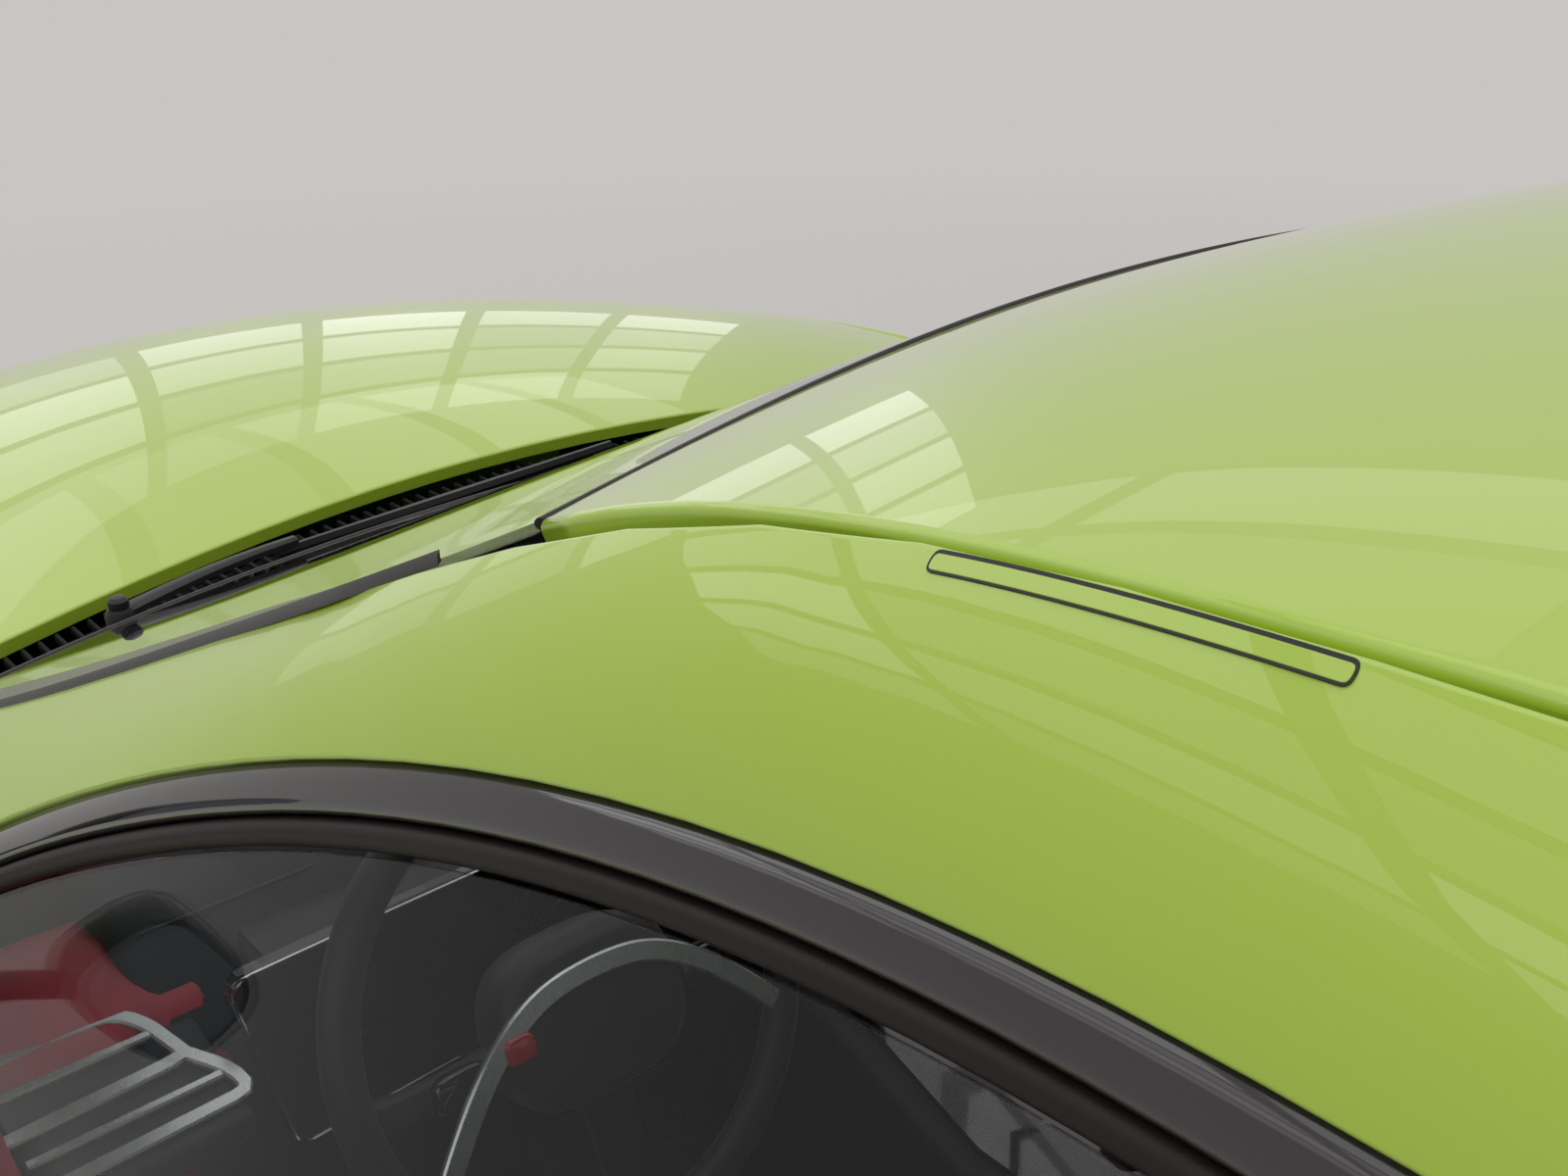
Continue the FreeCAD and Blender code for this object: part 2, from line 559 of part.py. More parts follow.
# Front end: bumper, lamps, grille, radiator.
front_bow = bow_shell(FRONT_LEVELS, S["fender_front_x"], S["bumper_wall"])
mouth = prism_end([(-330, 520), (-380, 600), (-300, 700), (300, 700), (380, 600), (330, 520)], 2200, 2500)
low_intake = prism_end([(-560, 230), (-480, 440), (480, 440), (560, 230)], 2200, 2500)
side_intake = prism_end([(640, 260), (620, 430), (740, 430), (750, 300)], 2100, 2500)
head_lamp_hole = prism_end([(430, 640), (460, 735), (830, 728), (830, 652)], 2090, 2500)
front_plate_holes = [Part.makeCylinder(S["plate_hole_radius"], 200, Vec(2300, y, 480), Vec(1, 0, 0))
                     for y in (-plate_y, plate_y)]
front_bumper = front_bow.cut(front_plate_holes + [mouth, low_intake, side_intake, mirrored(side_intake),
                              head_lamp_hole, mirrored(head_lamp_hole), hood_space])
front_stays = [block(2290 + rest, 2372, y - 25, y + 25, 462, 502) for y in (-300, 300)]
add("front_bumper", joined([largest(front_bumper)] + front_stays))
lamp_bow = bow_shell(FRONT_LEVELS, S["fender_front_x"], 60)
head_lamp = lamp_bow.common(prism_end([(430.6, 640.6), (460.6, 734.5), (830, 727.5), (830, 652.6)],
                                      2090 + rest, 2500))
add("headlamps", both(largest(head_lamp.cut(hood_space))))

# Floor, walls inside the body, engine.
floor_z = S["floor_z"]
floor_top = floor_z + S["floor_sheet"]
half = S["floor_half"]
boot_floor = S["boot_floor_z"]
sheet_t = S["floor_sheet"]
floor_pan = new_body("floor_pan")
pad(floor_pan, "x", [(-half, floor_z), (-150, floor_z), (-120, 330), (120, 330), (150, floor_z),
                     (half, floor_z), (half, floor_top), (162, floor_top), (133, 342), (-133, 342),
                     (-162, floor_top), (-half, floor_top)], -960, 960)
pad(floor_pan, "y", [(-972, floor_z), (-950, floor_z), (-950, boot_floor), (-2228, boot_floor),
                     (-2228, 785), (-2240, 785), (-2240, boot_floor - sheet_t), (-972, boot_floor - sheet_t)],
    -540, 540)
pad(floor_pan, "x", [(-40, 780), (40, 780), (30, 1067.6), (-30, 1067.6)], -2240, -2228)
pocket(floor_pan, "x", [(-148, floor_z - 1), (-118, 330), (118, 330), (148, floor_z - 1)], -980, -940)
bulkheads = new_body("bulkheads")
pad(bulkheads, "x", [(-half, floor_z), (-150, floor_z), (-120, 342.3), (120, 342.3), (150, floor_z),
                     (half, floor_z), (half, 640), (648, 640), (648, 868), (300, 905), (-300, 905), (-648, 868),
                     (-648, 640), (-half, 640)], 960 + rest, 972)
for sign in (-1, 1):
    y0, y1 = sorted((sign * 330, sign * 400))
    pad(bulkheads, "x", box_outline(y0, y1, 430, 510), 970, 2190 - rest)
    y0, y1 = sorted((sign * 390, sign * 400))
    pad(bulkheads, "y", box_outline(1437, 1617, 505, 850), y0, y1)
    y0, y1 = sorted((sign * 390, sign * 600))
    pad(bulkheads, "y", box_outline(1437, 1617, 840, 850), y0, y1)
    y0, y1 = sorted((sign * (230 + rest), sign * 335))
    pad(bulkheads, "x", box_outline(y0, y1, 440, 480), 1400, 1460)
pad(bulkheads, "y", [(-1330, boot_floor + rest), (-1318, boot_floor + rest), (-1272, 930), (-1262, 940),
                     (-1690, 985), (-1690, 995), (-1250, 950), (-1284, 930)][::1], -520, 520)
engine_block = new_body("engine_block")
pad(engine_block, "y", [(990, 350), (1100, 240), (1730, 240), (1760, 300), (1760, 760), (1700, 800),
                        (1040, 800), (990, 700)], -230, 230)
undertray = new_body("undertray")
pad(undertray, "z", [(2300, -520), (2300, 520), (1900, 430), (1150, 430), (965, 640), (940, 640), (940, -640),
                     (965, -640), (1150, -430), (1900, -430)], floor_z - rest - 6, floor_z - rest)


# Wheel housings, cut to the inside of the fenders and the side frame.
def housing(axle_x, axle_z, radius, y_in, slot_half, foot, outer):
    t = S["liner_sheet"]
    shell = drum(axle_x, axle_z, radius + t, y_in, 950).cut(drum(axle_x, axle_z, radius, y_in + t, 951))
    low = block(axle_x - 500, axle_x + 500, 0, 1000, -300, foot)
    slot = block(axle_x - slot_half, axle_x + slot_half, y_in - 5, y_in + 8, 0, 640)
    tower = block(axle_x - 80, axle_x + 80, y_in - 5, y_in + 150, 600, 900)
    inside = prism_plan([(axle_x - 450, 0), (axle_x + 450, 0)] + outer, -10, 1200)
    return shell.cut([low, slot, tower]).common(inside)


front_house = housing(S["front_axle_x"], S["front_tyre_radius"], S["front_liner_radius"], 460, 200, 180,
                      [(1977, 780), (1930, 810), (1700, 872), (1527, 884), (1120, 868), (1077, 868)])
rear_house = housing(S["rear_axle_x"], S["rear_tyre_radius"], S["rear_liner_radius"], 545, 200, 200,
                     [(-880, 830), (-1000, 845), (-1330, 872), (-1700, 842), (-1780, 830)])
front_house = largest(front_house.cut(fender_left))
rear_house = largest(rear_house.cut(side_frame))
add("wheel_arches", Part.makeCompound([front_house, mirrored(front_house), rear_house,
                                       mirrored(rear_house)]))


# Wheels: tyre by revolution, rim by revolution with a pattern of spokes.
def ring_body(name, outline, keep=False):
    """Solid of revolution about the Y axis; outline in radius and width."""
    body = new_body(name, keep)
    sketch = draw(body, "XY_Plane", outline, 0)
    feature = body.newObject("PartDesign::Revolution", "turned")
    feature.Profile = sketch
    feature.ReferenceAxis = (plane_of(body, "Y_Axis"), [""])
    feature.Angle = 360
    return body


def tyre_outline(radius, rim, width):
    w = width / 2
    return [(rim, -w + 14), (radius - 45, -w), (radius - 8, -w + 20), (radius, -w + 56),
            (radius, w - 56), (radius - 8, w - 20), (radius - 45, w), (rim, w - 14)]


def rim_outline(rim, width):
    w = width / 2 - 10
    return [(rim - 0.5, -w), (rim - 0.5, -w + 8), (rim - 16, -w + 12), (rim - 24, 0), (rim - 16, w - 12),
            (rim - 0.5, w - 8), (rim - 0.5, w), (rim - 24, w - 2), (rim - 32, 0), (rim - 24, -w + 2)]


def spoke_set(name, rim, width):
    """Hub and ten spokes in one body, outer face towards +Y."""
    w = width / 2
    body = new_body(name, False)
    hub = draw(body, "XY_Plane", [(0, w - 70), (72, w - 70), (80, w - 40), (34, w - 30), (0, w - 30)], 0)
    turned = body.newObject("PartDesign::Revolution", "hub")
    turned.Profile = hub
    turned.ReferenceAxis = (plane_of(body, "Y_Axis"), [""])
    turned.Angle = 360
    spoke = pad(body, "z", [(40, w - 66), (rim - 20, w - 46), (rim - 20, w - 12), (60, w - 38)], -12, 12)
    doc.recompute()
    pattern = body.newObject("PartDesign::PolarPattern", "spokes")
    pattern.Originals = [spoke]
    pattern.Axis = (plane_of(body, "Y_Axis"), [""])
    pattern.Angle = 360
    pattern.Occurrences = 10
    body.Tip = pattern
    return body


WHEELS = [("front", S["front_axle_x"], S["front_wheel_y"], S["front_tyre_radius"], S["front_rim_radius"],
           S["front_tyre_width"]),
          ("rear", S["rear_axle_x"], S["rear_wheel_y"], S["rear_tyre_radius"], S["rear_rim_radius"],
           S["rear_tyre_width"])]
disc_r = S["disc_radius"]
for end, axle_x, wheel_y, radius, rim_r, width in WHEELS:
    tyre = ring_body(end + "_tyre_turned", tyre_outline(radius, rim_r, width))
    barrel = ring_body(end + "_barrel", rim_outline(rim_r, width))
    spokes = spoke_set(end + "_spokes", rim_r, width)
    disc_at = width / 2 - 118
    disc = ring_body(end + "_disc", [(0, disc_at + 50), (0, disc_at + 40), (70, disc_at + 40), (70, disc_at),
                                     (disc_r, disc_at), (disc_r, disc_at + 30), (78, disc_at + 30),
                                     (78, disc_at + 50)])
    doc.recompute()
    rim_shape = joined([barrel.Shape, spokes.Shape, disc.Shape])
    for side_name, sign in (("left", 1), ("right", -1)):
        turn = FreeCAD.Rotation(Vec(0, 0, 1), 0 if sign > 0 else 180)
        place = FreeCAD.Placement(Vec(axle_x, sign * wheel_y, radius), turn)
        for part_name, shape in (("tyre", tyre.Shape), ("rim", rim_shape)):
            moved = shape.copy()
            moved.Placement = place.multiply(moved.Placement)
            add("wheel_%s_%s_%s" % (end, side_name, part_name), moved)

# Axle parts.
for end, axle_x, wheel_y, radius, rim_r, width in WHEELS:
    disc_y = wheel_y + width / 2 - 118
    hub_pin = drum(axle_x, radius, 34, disc_y - 60, disc_y + 40 - rest)
    caliper = drum(axle_x, radius, disc_r + 22, disc_y - 34, disc_y + 50).cut(
        drum(axle_x, radius, disc_r - 62, disc_y - 40, disc_y + 70))
    caliper = caliper.cut(drum(axle_x, radius, disc_r + 6, disc_y - 6, disc_y + 36))
    cheek = -1 if end == "front" else 1
    caliper = caliper.common(prism_side([(axle_x, radius), (axle_x + cheek * 260, radius + 130),
                                         (axle_x + cheek * 260, radius - 130)], 0, 1000))
    if end == "front":
        upright = joined([block(axle_x - 34, axle_x + 34, disc_y - 100, disc_y - 60, radius - 120, radius + 140),
                          block(axle_x - 120, axle_x + 34, disc_y - 90, disc_y - 60, radius - 40, radius + 40)])
        bridge = block(axle_x - 210, axle_x - 100, disc_y - 60, disc_y - 30, radius - 34, radius + 34)
        link = block(axle_x - 210, axle_x - 100, disc_y - 90, disc_y - 30, radius - 30, radius + 30)
        knuckle = joined([upright, hub_pin, caliper, bridge, link])
        add("knuckle_left", knuckle)
        add("knuckle_right", mirrored(knuckle))
    else:
        upright = joined([block(axle_x - 60, axle_x + 60, disc_y - 100, disc_y - 60, radius - 120, radius + 120),
                          hub_pin, caliper,
                          block(axle_x + 60, axle_x + 210, disc_y - 90, disc_y - 30, radius - 30, radius + 30)])
        rear_upright = upright
front_z = S["front_tyre_radius"]
fx, rx = S["front_axle_x"], S["rear_axle_x"]
def arm(ends, hub, radius):
    return [rod(e, hub, radius) for e in ends]


ball_y = S["kingpin_y"]
hub_low = (fx, ball_y, front_z - 120 - 17 - 3 * rest)
hub_high = (fx, ball_y, front_z + 140 + 13 + rest)
lower_arm = arm([(fx - 170, 320, 215), (fx + 150, 320, 215)], hub_low, 15)
lower_arm.append(Part.makeCylinder(24, 34, Vec(fx, ball_y, hub_low[2] - 17)))
arm_plan = [(-148, 400 + rest), (-112, 400 + rest), (-112, 440), (0, 640), (112, 440), (112, 400 + rest),
            (148, 400 + rest), (148, 446), (20, ball_y + 18), (-20, ball_y + 18), (-148, 446)]
upper_arm = prism_plan([(fx + x, y) for x, y in arm_plan], hub_high[2] - 13, hub_high[2] + 13)
strut = [rod((fx, 540, 205), (fx, 530, 430), 24), rod((fx, 530, 430), (fx, 520, 830), 44),
         Part.makeCylinder(56, 16, Vec(fx, 520, 824 - rest)), block(fx - 80, fx + 72, 525, 555, 194, 220)]
cross = [block(fx - 200, fx + 200, 0, 345, 170, 236), block(fx - 60, fx + 60, 332, 398, 200, 430 - rest)]
front_half = joined(lower_arm + strut + cross)
add("front_suspension", Part.makeCompound([joined([front_half, mirrored(front_half)]),
                                           upper_arm, mirrored(upper_arm)]))
rear_z = S["rear_tyre_radius"]
disc_rear = S["rear_wheel_y"] + S["rear_tyre_width"] / 2 - 118
rear_arms = [rod((rx - 120, 300, 245), (rx, disc_rear - 80, rear_z - 90), 18),
             rod((rx + 160, 300, 245), (rx, disc_rear - 80, rear_z - 90), 18),
             rod((rx, 300, 330), (rx, disc_rear - 80, rear_z + 90), 14),
             rod((rx, 120, rear_z - 20), (rx, disc_rear - 70, rear_z), 22),
             block(rx - 200, rx + 220, 0, 320, 226, 268), block(rx - 130, rx + 130, 0, 130, 226, 345),
             block(rx + 180, rx + 220, 260, 300, 262, S["boot_floor_z"] - S["floor_sheet"] - rest),
             block(rx - 200, rx - 160, 260, 300, 262, S["boot_floor_z"] - S["floor_sheet"] - rest),
             block(rx - 20, rx + 20, 280, 316, 262, 350)]
rear_half = joined([rear_upright] + rear_arms)
add("rear_suspension", joined([rear_half, mirrored(rear_half)]))

# Exhaust.
pipe_z = S["exhaust_z"]
pipe = [rod((1140, 0, pipe_z), (1140, 0, 240 - rest), 34), rod((1140, 0, pipe_z), (-1800, 0, pipe_z), 34),
        Part.makeSphere(34, Vec(1140, 0, pipe_z))]
silencer = block(-2190, -1780, -380, 380, 196, 316)
hangers = [block(-2000, -1970, y - 12, y + 12, 310, boot_floor - sheet_t - rest) for y in (-300, 300)]
tail_pipes = [rod((-2150, math.copysign(340, y), 270), (-2236, y, 300), 26) for x, y, z in tips]
tail_tips = [Part.makeCylinder(48, 160, Vec(-2225, y, z), Vec(-1, 0, 0)).cut(
    Part.makeCylinder(43, 140, Vec(-2262, y, z), Vec(-1, 0, 0))) for x, y, z in tips]
add("exhaust", joined(pipe + [silencer] + hangers + tail_pipes + tail_tips))

# Grille and radiator, cowl, wipers, mirror, covers on the roof rails.
slats = [block(2300, 2319, -350, 350, z, z + 12) for z in (530, 565, 600, 635, 670)]
posts = [block(2290, 2312, y - 8, y + 8, 520, 695) for y in (-280, 0, 280)]
radiator = block(2190, 2240, -540, 540, 232, 690)
beam = block(2238, 2290, -520, 520, 452, 512)
stays = [block(2238, 2295, y - 8, y + 8, 600, 640) for y in (-280, 0, 280)]
latch = block(2190, 2230, -30, 30, 685, 822.1)
add("grille", joined(slats + posts + [radiator, beam, latch] + stays))
COWL = [(848, 790, 903, 947), (1000, 790, 885, 938), (1130, 790, 876, 926)]
ARMS = [((967, 489), (1020, 300), (1016, 320), (1072, -110)),
        ((1010, -330), (985, -160), (972, 393), (984, -200))]
cowl = crowned(COWL, 10).common(band(HOOD_REAR, SCREEN_FOOT, -gap, -20))
cowl = cowl.cut([side_frame, mirrored(side_frame), fender_left, mirrored(fender_left)])
wipers = []
for pivot, tip, end_a, end_b in ARMS:
    arm_plan = [(pivot[0] - 9, pivot[1]), (pivot[0] + 9, pivot[1]), (tip[0] + 5, tip[1]), (tip[0] - 5, tip[1])]
    blade_plan = [(end_a[0] - 5, end_a[1]), (end_a[0] + 5, end_a[1]), (end_b[0] + 5, end_b[1]),
                  (end_b[0] - 5, end_b[1])]
    wipers.append(joined([Part.makeCylinder(13, 72, Vec(pivot[0], pivot[1], 892)),
                          prism_plan(arm_plan, 954, 964), prism_plan(blade_plan, 946, 958)]))
    cowl = cowl.cut(Part.makeCylinder(13 + rest, 200, Vec(pivot[0], pivot[1], 800)))
add("cowl_panel", largest(cowl))
add("wipers", Part.makeCompound(wipers))
add("rack_covers", Part.makeCompound([rail_cover, mirrored(rail_cover), rail_cover_rear,
                                      mirrored(rail_cover_rear)]))
add("inner_mirror", joined([block(385, 403, -120, 120, 1135, 1195),
                            rod((395, 0, 1154.2), (420.8, 0, 1217.4), 9)]))

# Cabin.
dash = new_body("dash_form", False)
pad(dash, "y", [(560, 560), (700, 560), (885, 700), (885, 820), (840, 880), (640, 875), (560, 800),
                (545, 700)], -640, 640)
console = new_body("centre_console")
pad(console, "y", [(-380, 342 + rest), (700, 342 + rest), (700, 560 - rest), (556, 560 - rest), (545, 640),
                   (300, 560), (-380, 560)], -115, 115)
ring = ring_body("wheel_ring", [(S["ring_radius"] - 15, -13), (S["ring_radius"] + 1, -13), (S["ring_radius"] + 15, 0),
                                (S["ring_radius"] + 1, 13), (S["ring_radius"] - 15, 13)])
doc.recompute()
boss = Part.makeCylinder(75, 60, Vec(0, -20, 0), Vec(0, 1, 0))
spoke_bars = [block(-S["ring_radius"] + 5, S["ring_radius"] - 5, -6, 6, -22, 22),
              block(-20, 20, -6, 6, -S["ring_radius"] + 5, 0)]
column = Part.makeCylinder(26, 160, Vec(0, 20, 0), Vec(0, 1, 0))
wheel_shape = joined([ring.Shape, boss, column] + spoke_bars)
turn = FreeCAD.Rotation(Vec(0, 0, 1), -90).multiply(FreeCAD.Rotation(Vec(1, 0, 0), -S["column_rake"]))
wheel_shape.Placement = FreeCAD.Placement(Vec(S["ring_x"], S["seat_y"], S["ring_z"]), turn)
add("steering_wheel", wheel_shape)
rake = math.radians(S["column_rake"])
column_hole = Part.makeCylinder(26 + rest, 400, Vec(S["ring_x"], S["seat_y"], S["ring_z"]),
                                Vec(math.cos(rake), 0, -math.sin(rake)))
add("dashboard", dash.Shape.cut(column_hole))


def seat_solids(y):
    cushion = prism_side([(-120, 250), (420, 300), (430, 400), (380, 440), (-60, 390), (-120, 380)],
                         y - 218, y + 218)
    back = prism_side([(-60, 391), (-170, 380), (-380, 960), (-330, 990), (-250, 960)], y - 215, y + 215)
    head = prism_side([(-380, 1010), (-310, 1000), (-330, 1150), (-390, 1150)], y - 110, y + 110)
    stem = block(-360, -345, y - 60, y + 60, 960, 1040)
    rails = [block(-100, 380, y + s - 14, y + s + 14, floor_top, 300) for s in (-195, 195)]
    return joined([cushion, back, head, stem] + rails)


add("front_seats", both(seat_solids(S["seat_y"])))
bench_form = prism_side([(-640, 342 + rest), (-950 + rest, 342 + rest), (-950 + rest, boot_floor + rest),
                         (-1318 + 2 * rest, boot_floor + rest), (-1272 + 2 * rest, 920), (-1180, 900),
                         (-1110, 500), (-640, 470)], -515, 515)
bench_feet = [block(-700, -640, y0, y1, floor_top, 350) for y0, y1 in ((-515, -180), (180, 515))]
add("rear_bench", joined([bench_form] + bench_feet))
doc.recompute()
for obj in doc.Objects:
    if "Invalid" in obj.State or "Error" in obj.State:
        raise RuntimeError("not computed: " + obj.Label)
for obj in NODES:
    if obj.Shape.isNull() or not obj.Shape.isValid():
        raise RuntimeError("not a sound solid: " + obj.Label)
for obj in NODES:
    obj.Shape.exportStep("parts/%s.step" % obj.Label)
print(len(NODES), "sub-parts written")
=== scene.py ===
# Looks of the two-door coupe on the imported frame. Lengths in the tables are millimetres,
# +X to the nose, +Y to the car's left, +Z up; Blender works in metres.
import bmesh
import bpy
import math
import numpy as np
from mathutils import Matrix, Vector
from mathutils.geometry import delaunay_2d_cdt


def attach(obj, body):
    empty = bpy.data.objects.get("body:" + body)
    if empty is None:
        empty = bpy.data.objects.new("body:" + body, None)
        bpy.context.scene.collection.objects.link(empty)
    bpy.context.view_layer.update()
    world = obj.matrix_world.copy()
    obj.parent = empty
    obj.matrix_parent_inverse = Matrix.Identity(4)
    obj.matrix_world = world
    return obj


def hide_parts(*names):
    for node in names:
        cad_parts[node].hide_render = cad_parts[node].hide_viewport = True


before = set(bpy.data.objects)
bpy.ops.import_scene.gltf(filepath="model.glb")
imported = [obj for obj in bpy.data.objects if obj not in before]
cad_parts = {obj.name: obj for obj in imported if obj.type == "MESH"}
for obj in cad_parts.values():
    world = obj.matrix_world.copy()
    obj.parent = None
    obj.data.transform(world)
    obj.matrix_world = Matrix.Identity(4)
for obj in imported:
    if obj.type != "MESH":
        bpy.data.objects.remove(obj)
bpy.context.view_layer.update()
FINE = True

# Body lines. Columns: x, sill, rocker, waist, wide, hip, belt, each y and z.
SIDE = [
    (-2290, (640, 210), (690, 270), (715, 430), (730, 660), (715, 880), (640, 1015)),
    (-2080, (770, 190), (830, 260), (850, 430), (858, 660), (835, 880), (735, 1010)),
    (-1750, (790, 170), (875, 240), (908, 430), (918, 660), (890, 880), (765, 995)),
    (-1330, (800, 160), (898, 235), (928, 430), (943, 655), (925, 875), (790, 972)),
    (-950, (800, 155), (895, 235), (910, 420), (930, 650), (918, 865), (803, 953)),
    (-620, (800, 152), (893, 235), (894, 420), (916, 642), (907, 856), (808, 942)),
    (-300, (800, 150), (893, 235), (887, 420), (910, 636), (899, 848), (808, 930)),
    (0, (800, 150), (893, 235), (886, 420), (908, 632), (896, 842), (805, 920)),
    (300, (800, 150), (893, 235), (887, 420), (908, 629), (896, 836), (799, 909)),
    (600, (800, 150), (893, 235), (890, 420), (910, 624), (897, 828), (791, 903)),
    (931, (800, 150), (893, 235), (897, 420), (914, 616), (900, 812), (790, 909)),
    (1150, (800, 155), (893, 235), (908, 420), (919, 608), (901, 800), (803, 917)),
    (1527, (800, 160), (895, 230), (925, 420), (935, 600), (905, 770), (811, 905)),
    (1850, (790, 165), (850, 225), (878, 420), (882, 590), (850, 735), (778, 868)),
    (2080, (760, 170), (800, 230), (815, 420), (815, 560), (790, 690), (739, 813)),
]
# Above the belt. Columns: x, line over the side windows, line beside the roof.
UPPER = [
    (-2290, (625, 1050), (600, 1078)),
    (-2080, (700, 1045), (612, 1068)),
    (-1750, (725, 1035), (600, 1062)),
    (-1330, (735, 1070), (550, 1195)),
    (-950, (694, 1158), (519, 1320)),
    (-620, (647, 1248), (538, 1361)),
    (-300, (620, 1275), (559, 1362)),
    (0, (624, 1246), (569, 1336)),
    (300, (663, 1147), (592, 1217)),
    (600, (729, 991), (650, 1074)),
    (931, (765, 922), (737, 934)),
]
WINDOW = [(722, 907), (600, 991), (400, 1104), (200, 1190), (0, 1246), (-150, 1268),
          (-300, 1275), (-450, 1270), (-620, 1248), (-800, 1208), (-950, 1158),
          (-1090, 1090), (-1180, 1010), (-1165, 985), (-950, 962), (-620, 950),
          (-300, 937), (0, 927), (400, 911), (690, 905)]
# Crowned panels. Columns: x, side y, side z, middle z.
WINDSCREEN = [(140, 562, 1296, 1342), (245, 582, 1243, 1305), (400, 602, 1168, 1234),
              (600, 644, 1073, 1142), (740, 679, 1011, 1077), (931, 731, 931, 993),
              (1070, 768, 878, 936)]
ROOF = [(-1000, 516, 1308, 1350), (-900, 513, 1332, 1371), (-674, 526, 1358, 1393),
        (-500, 540, 1362, 1398), (-333, 550, 1362, 1399), (-157, 558, 1356, 1392),
        (0, 562, 1337, 1374), (150, 565, 1291, 1336), (260, 583, 1238, 1299)]
REAR_WINDOW = [(-1730, 589, 1050, 1082), (-1640, 578, 1081, 1118), (-1500, 562, 1133, 1174),
               (-1330, 543, 1195, 1243), (-1160, 527, 1256, 1302), (-960, 514, 1316, 1360),
               (-890, 513, 1334, 1375)]
HOOD = [(950, 771, 918, 938), (1112, 783, 919, 961), (1300, 795, 915, 985),
        (1527, 804, 904, 997), (1750, 786, 881, 987), (1914, 764, 852, 963),
        (2080, 732, 812, 918), (2200, 697, 774, 862), (2330, 640, 722, 786)]
BOOT_DECK = [(-2305, 590, 1077, 1097), (-2200, 598, 1070, 1088), (-2080, 603, 1065, 1083),
             (-1890, 598, 1059, 1081), (-1720, 586, 1062, 1087), (-1630, 573, 1078, 1106)]
# Plan edges: x at the side, side y, x in the middle.
HEADER = (150, 565, 245)
SCREEN_FOOT = (850, 706, 970)
HOOD_REAR = (968, 774, 1112)
HOOD_FRONT = (2255, 672, 2322)
ROOF_REAR = (-905, 513, -962)
BACK_FOOT = (-1655, 580, -1712)
LIP = (-2262, 600, -2300)
# Bumper bows. Columns: z, y at the side joint, x of the corner, x of the middle.
FRONT_LEVELS = [(165, 758, 2290, 2330), (230, 800, 2330, 2376), (330, 810, 2345, 2392),
                (450, 816, 2350, 2397), (560, 815, 2340, 2392), (660, 797, 2322, 2376),
                (745, 767, 2290, 2345), (790, 748, 2262, 2322)]
REAR_LEVELS = [(200, 785, -2250, -2300), (270, 843, -2290, -2352), (400, 862, -2310, -2378),
               (560, 870, -2323, -2394), (690, 871, -2323, -2394), (785, 862, -2310, -2380)]
TAIL_LEVELS = [(791, 724, -2291, -2340), (880, 715, -2291, -2340), (960, 675, -2291, -2334),
               (1015, 640, -2291, -2328), (1076, 601, -2291, -2318)]
LID_LEVELS = [(800, 640, -2322, -2360), (880, 640, -2322, -2360), (960, 630, -2314, -2352),
              (1015, 620, -2304, -2340), (1080, 604, -2284, -2316)]
FRONT_AXLE, REAR_AXLE = 1527, -1330
FRONT_Z, REAR_Z = 337, 340
ARCH = 374
SIDES = (("left", 1), ("right", -1))
UP = (0.0, 0.0, 1.0)


# Curves and surfaces.
def spline(xs, ys):
    """Smooth curve with continuous curvature through given points."""
    order = np.argsort(xs)
    x = np.array(xs, float)[order]
    y = np.array(ys, float)[order]
    n = len(x)
    h = np.diff(x)
    a = np.zeros((n, n))
    b = np.zeros(n)
    a[0, 0] = a[-1, -1] = 1
    for i in range(1, n - 1):
        a[i, i - 1:i + 2] = h[i - 1], 2 * (h[i - 1] + h[i]), h[i]
        b[i] = 6 * ((y[i + 1] - y[i]) / h[i] - (y[i] - y[i - 1]) / h[i - 1])
    m = np.linalg.solve(a, b)

    def at(q):
        q = np.asarray(q, float)
        k = np.clip(np.searchsorted(x, q) - 1, 0, n - 2)
        low, high, w = x[k], x[k + 1], h[k]
        inside = np.clip(q, x[0], x[-1])
        s, t = (high - inside) / w, (inside - low) / w
        value = s * y[k] + t * y[k + 1] + ((s ** 3 - s) * m[k] + (t ** 3 - t) * m[k + 1]) * w * w / 6
        slope = (y[k + 1] - y[k]) / w + ((1 - 3 * s ** 2) * m[k] + (3 * t ** 2 - 1) * m[k + 1]) * w / 6
        return value + slope * (q - inside)
    return at


def through(rows, i, j=None):
    """Smooth curve over a table's first column through its column i, or through entry j of it."""
    return spline([r[0] for r in rows], [r[i] if j is None else r[i][j] for r in rows])


def cubic(t, a, b, slope_a, slope_b):
    """Cubic from a to b with given slopes at its ends."""
    return (a * (2 * t ** 3 - 3 * t ** 2 + 1) + b * (3 * t ** 2 - 2 * t ** 3)
            + slope_a * (t ** 3 - 2 * t ** 2 + t) + slope_b * (t ** 3 - t ** 2))


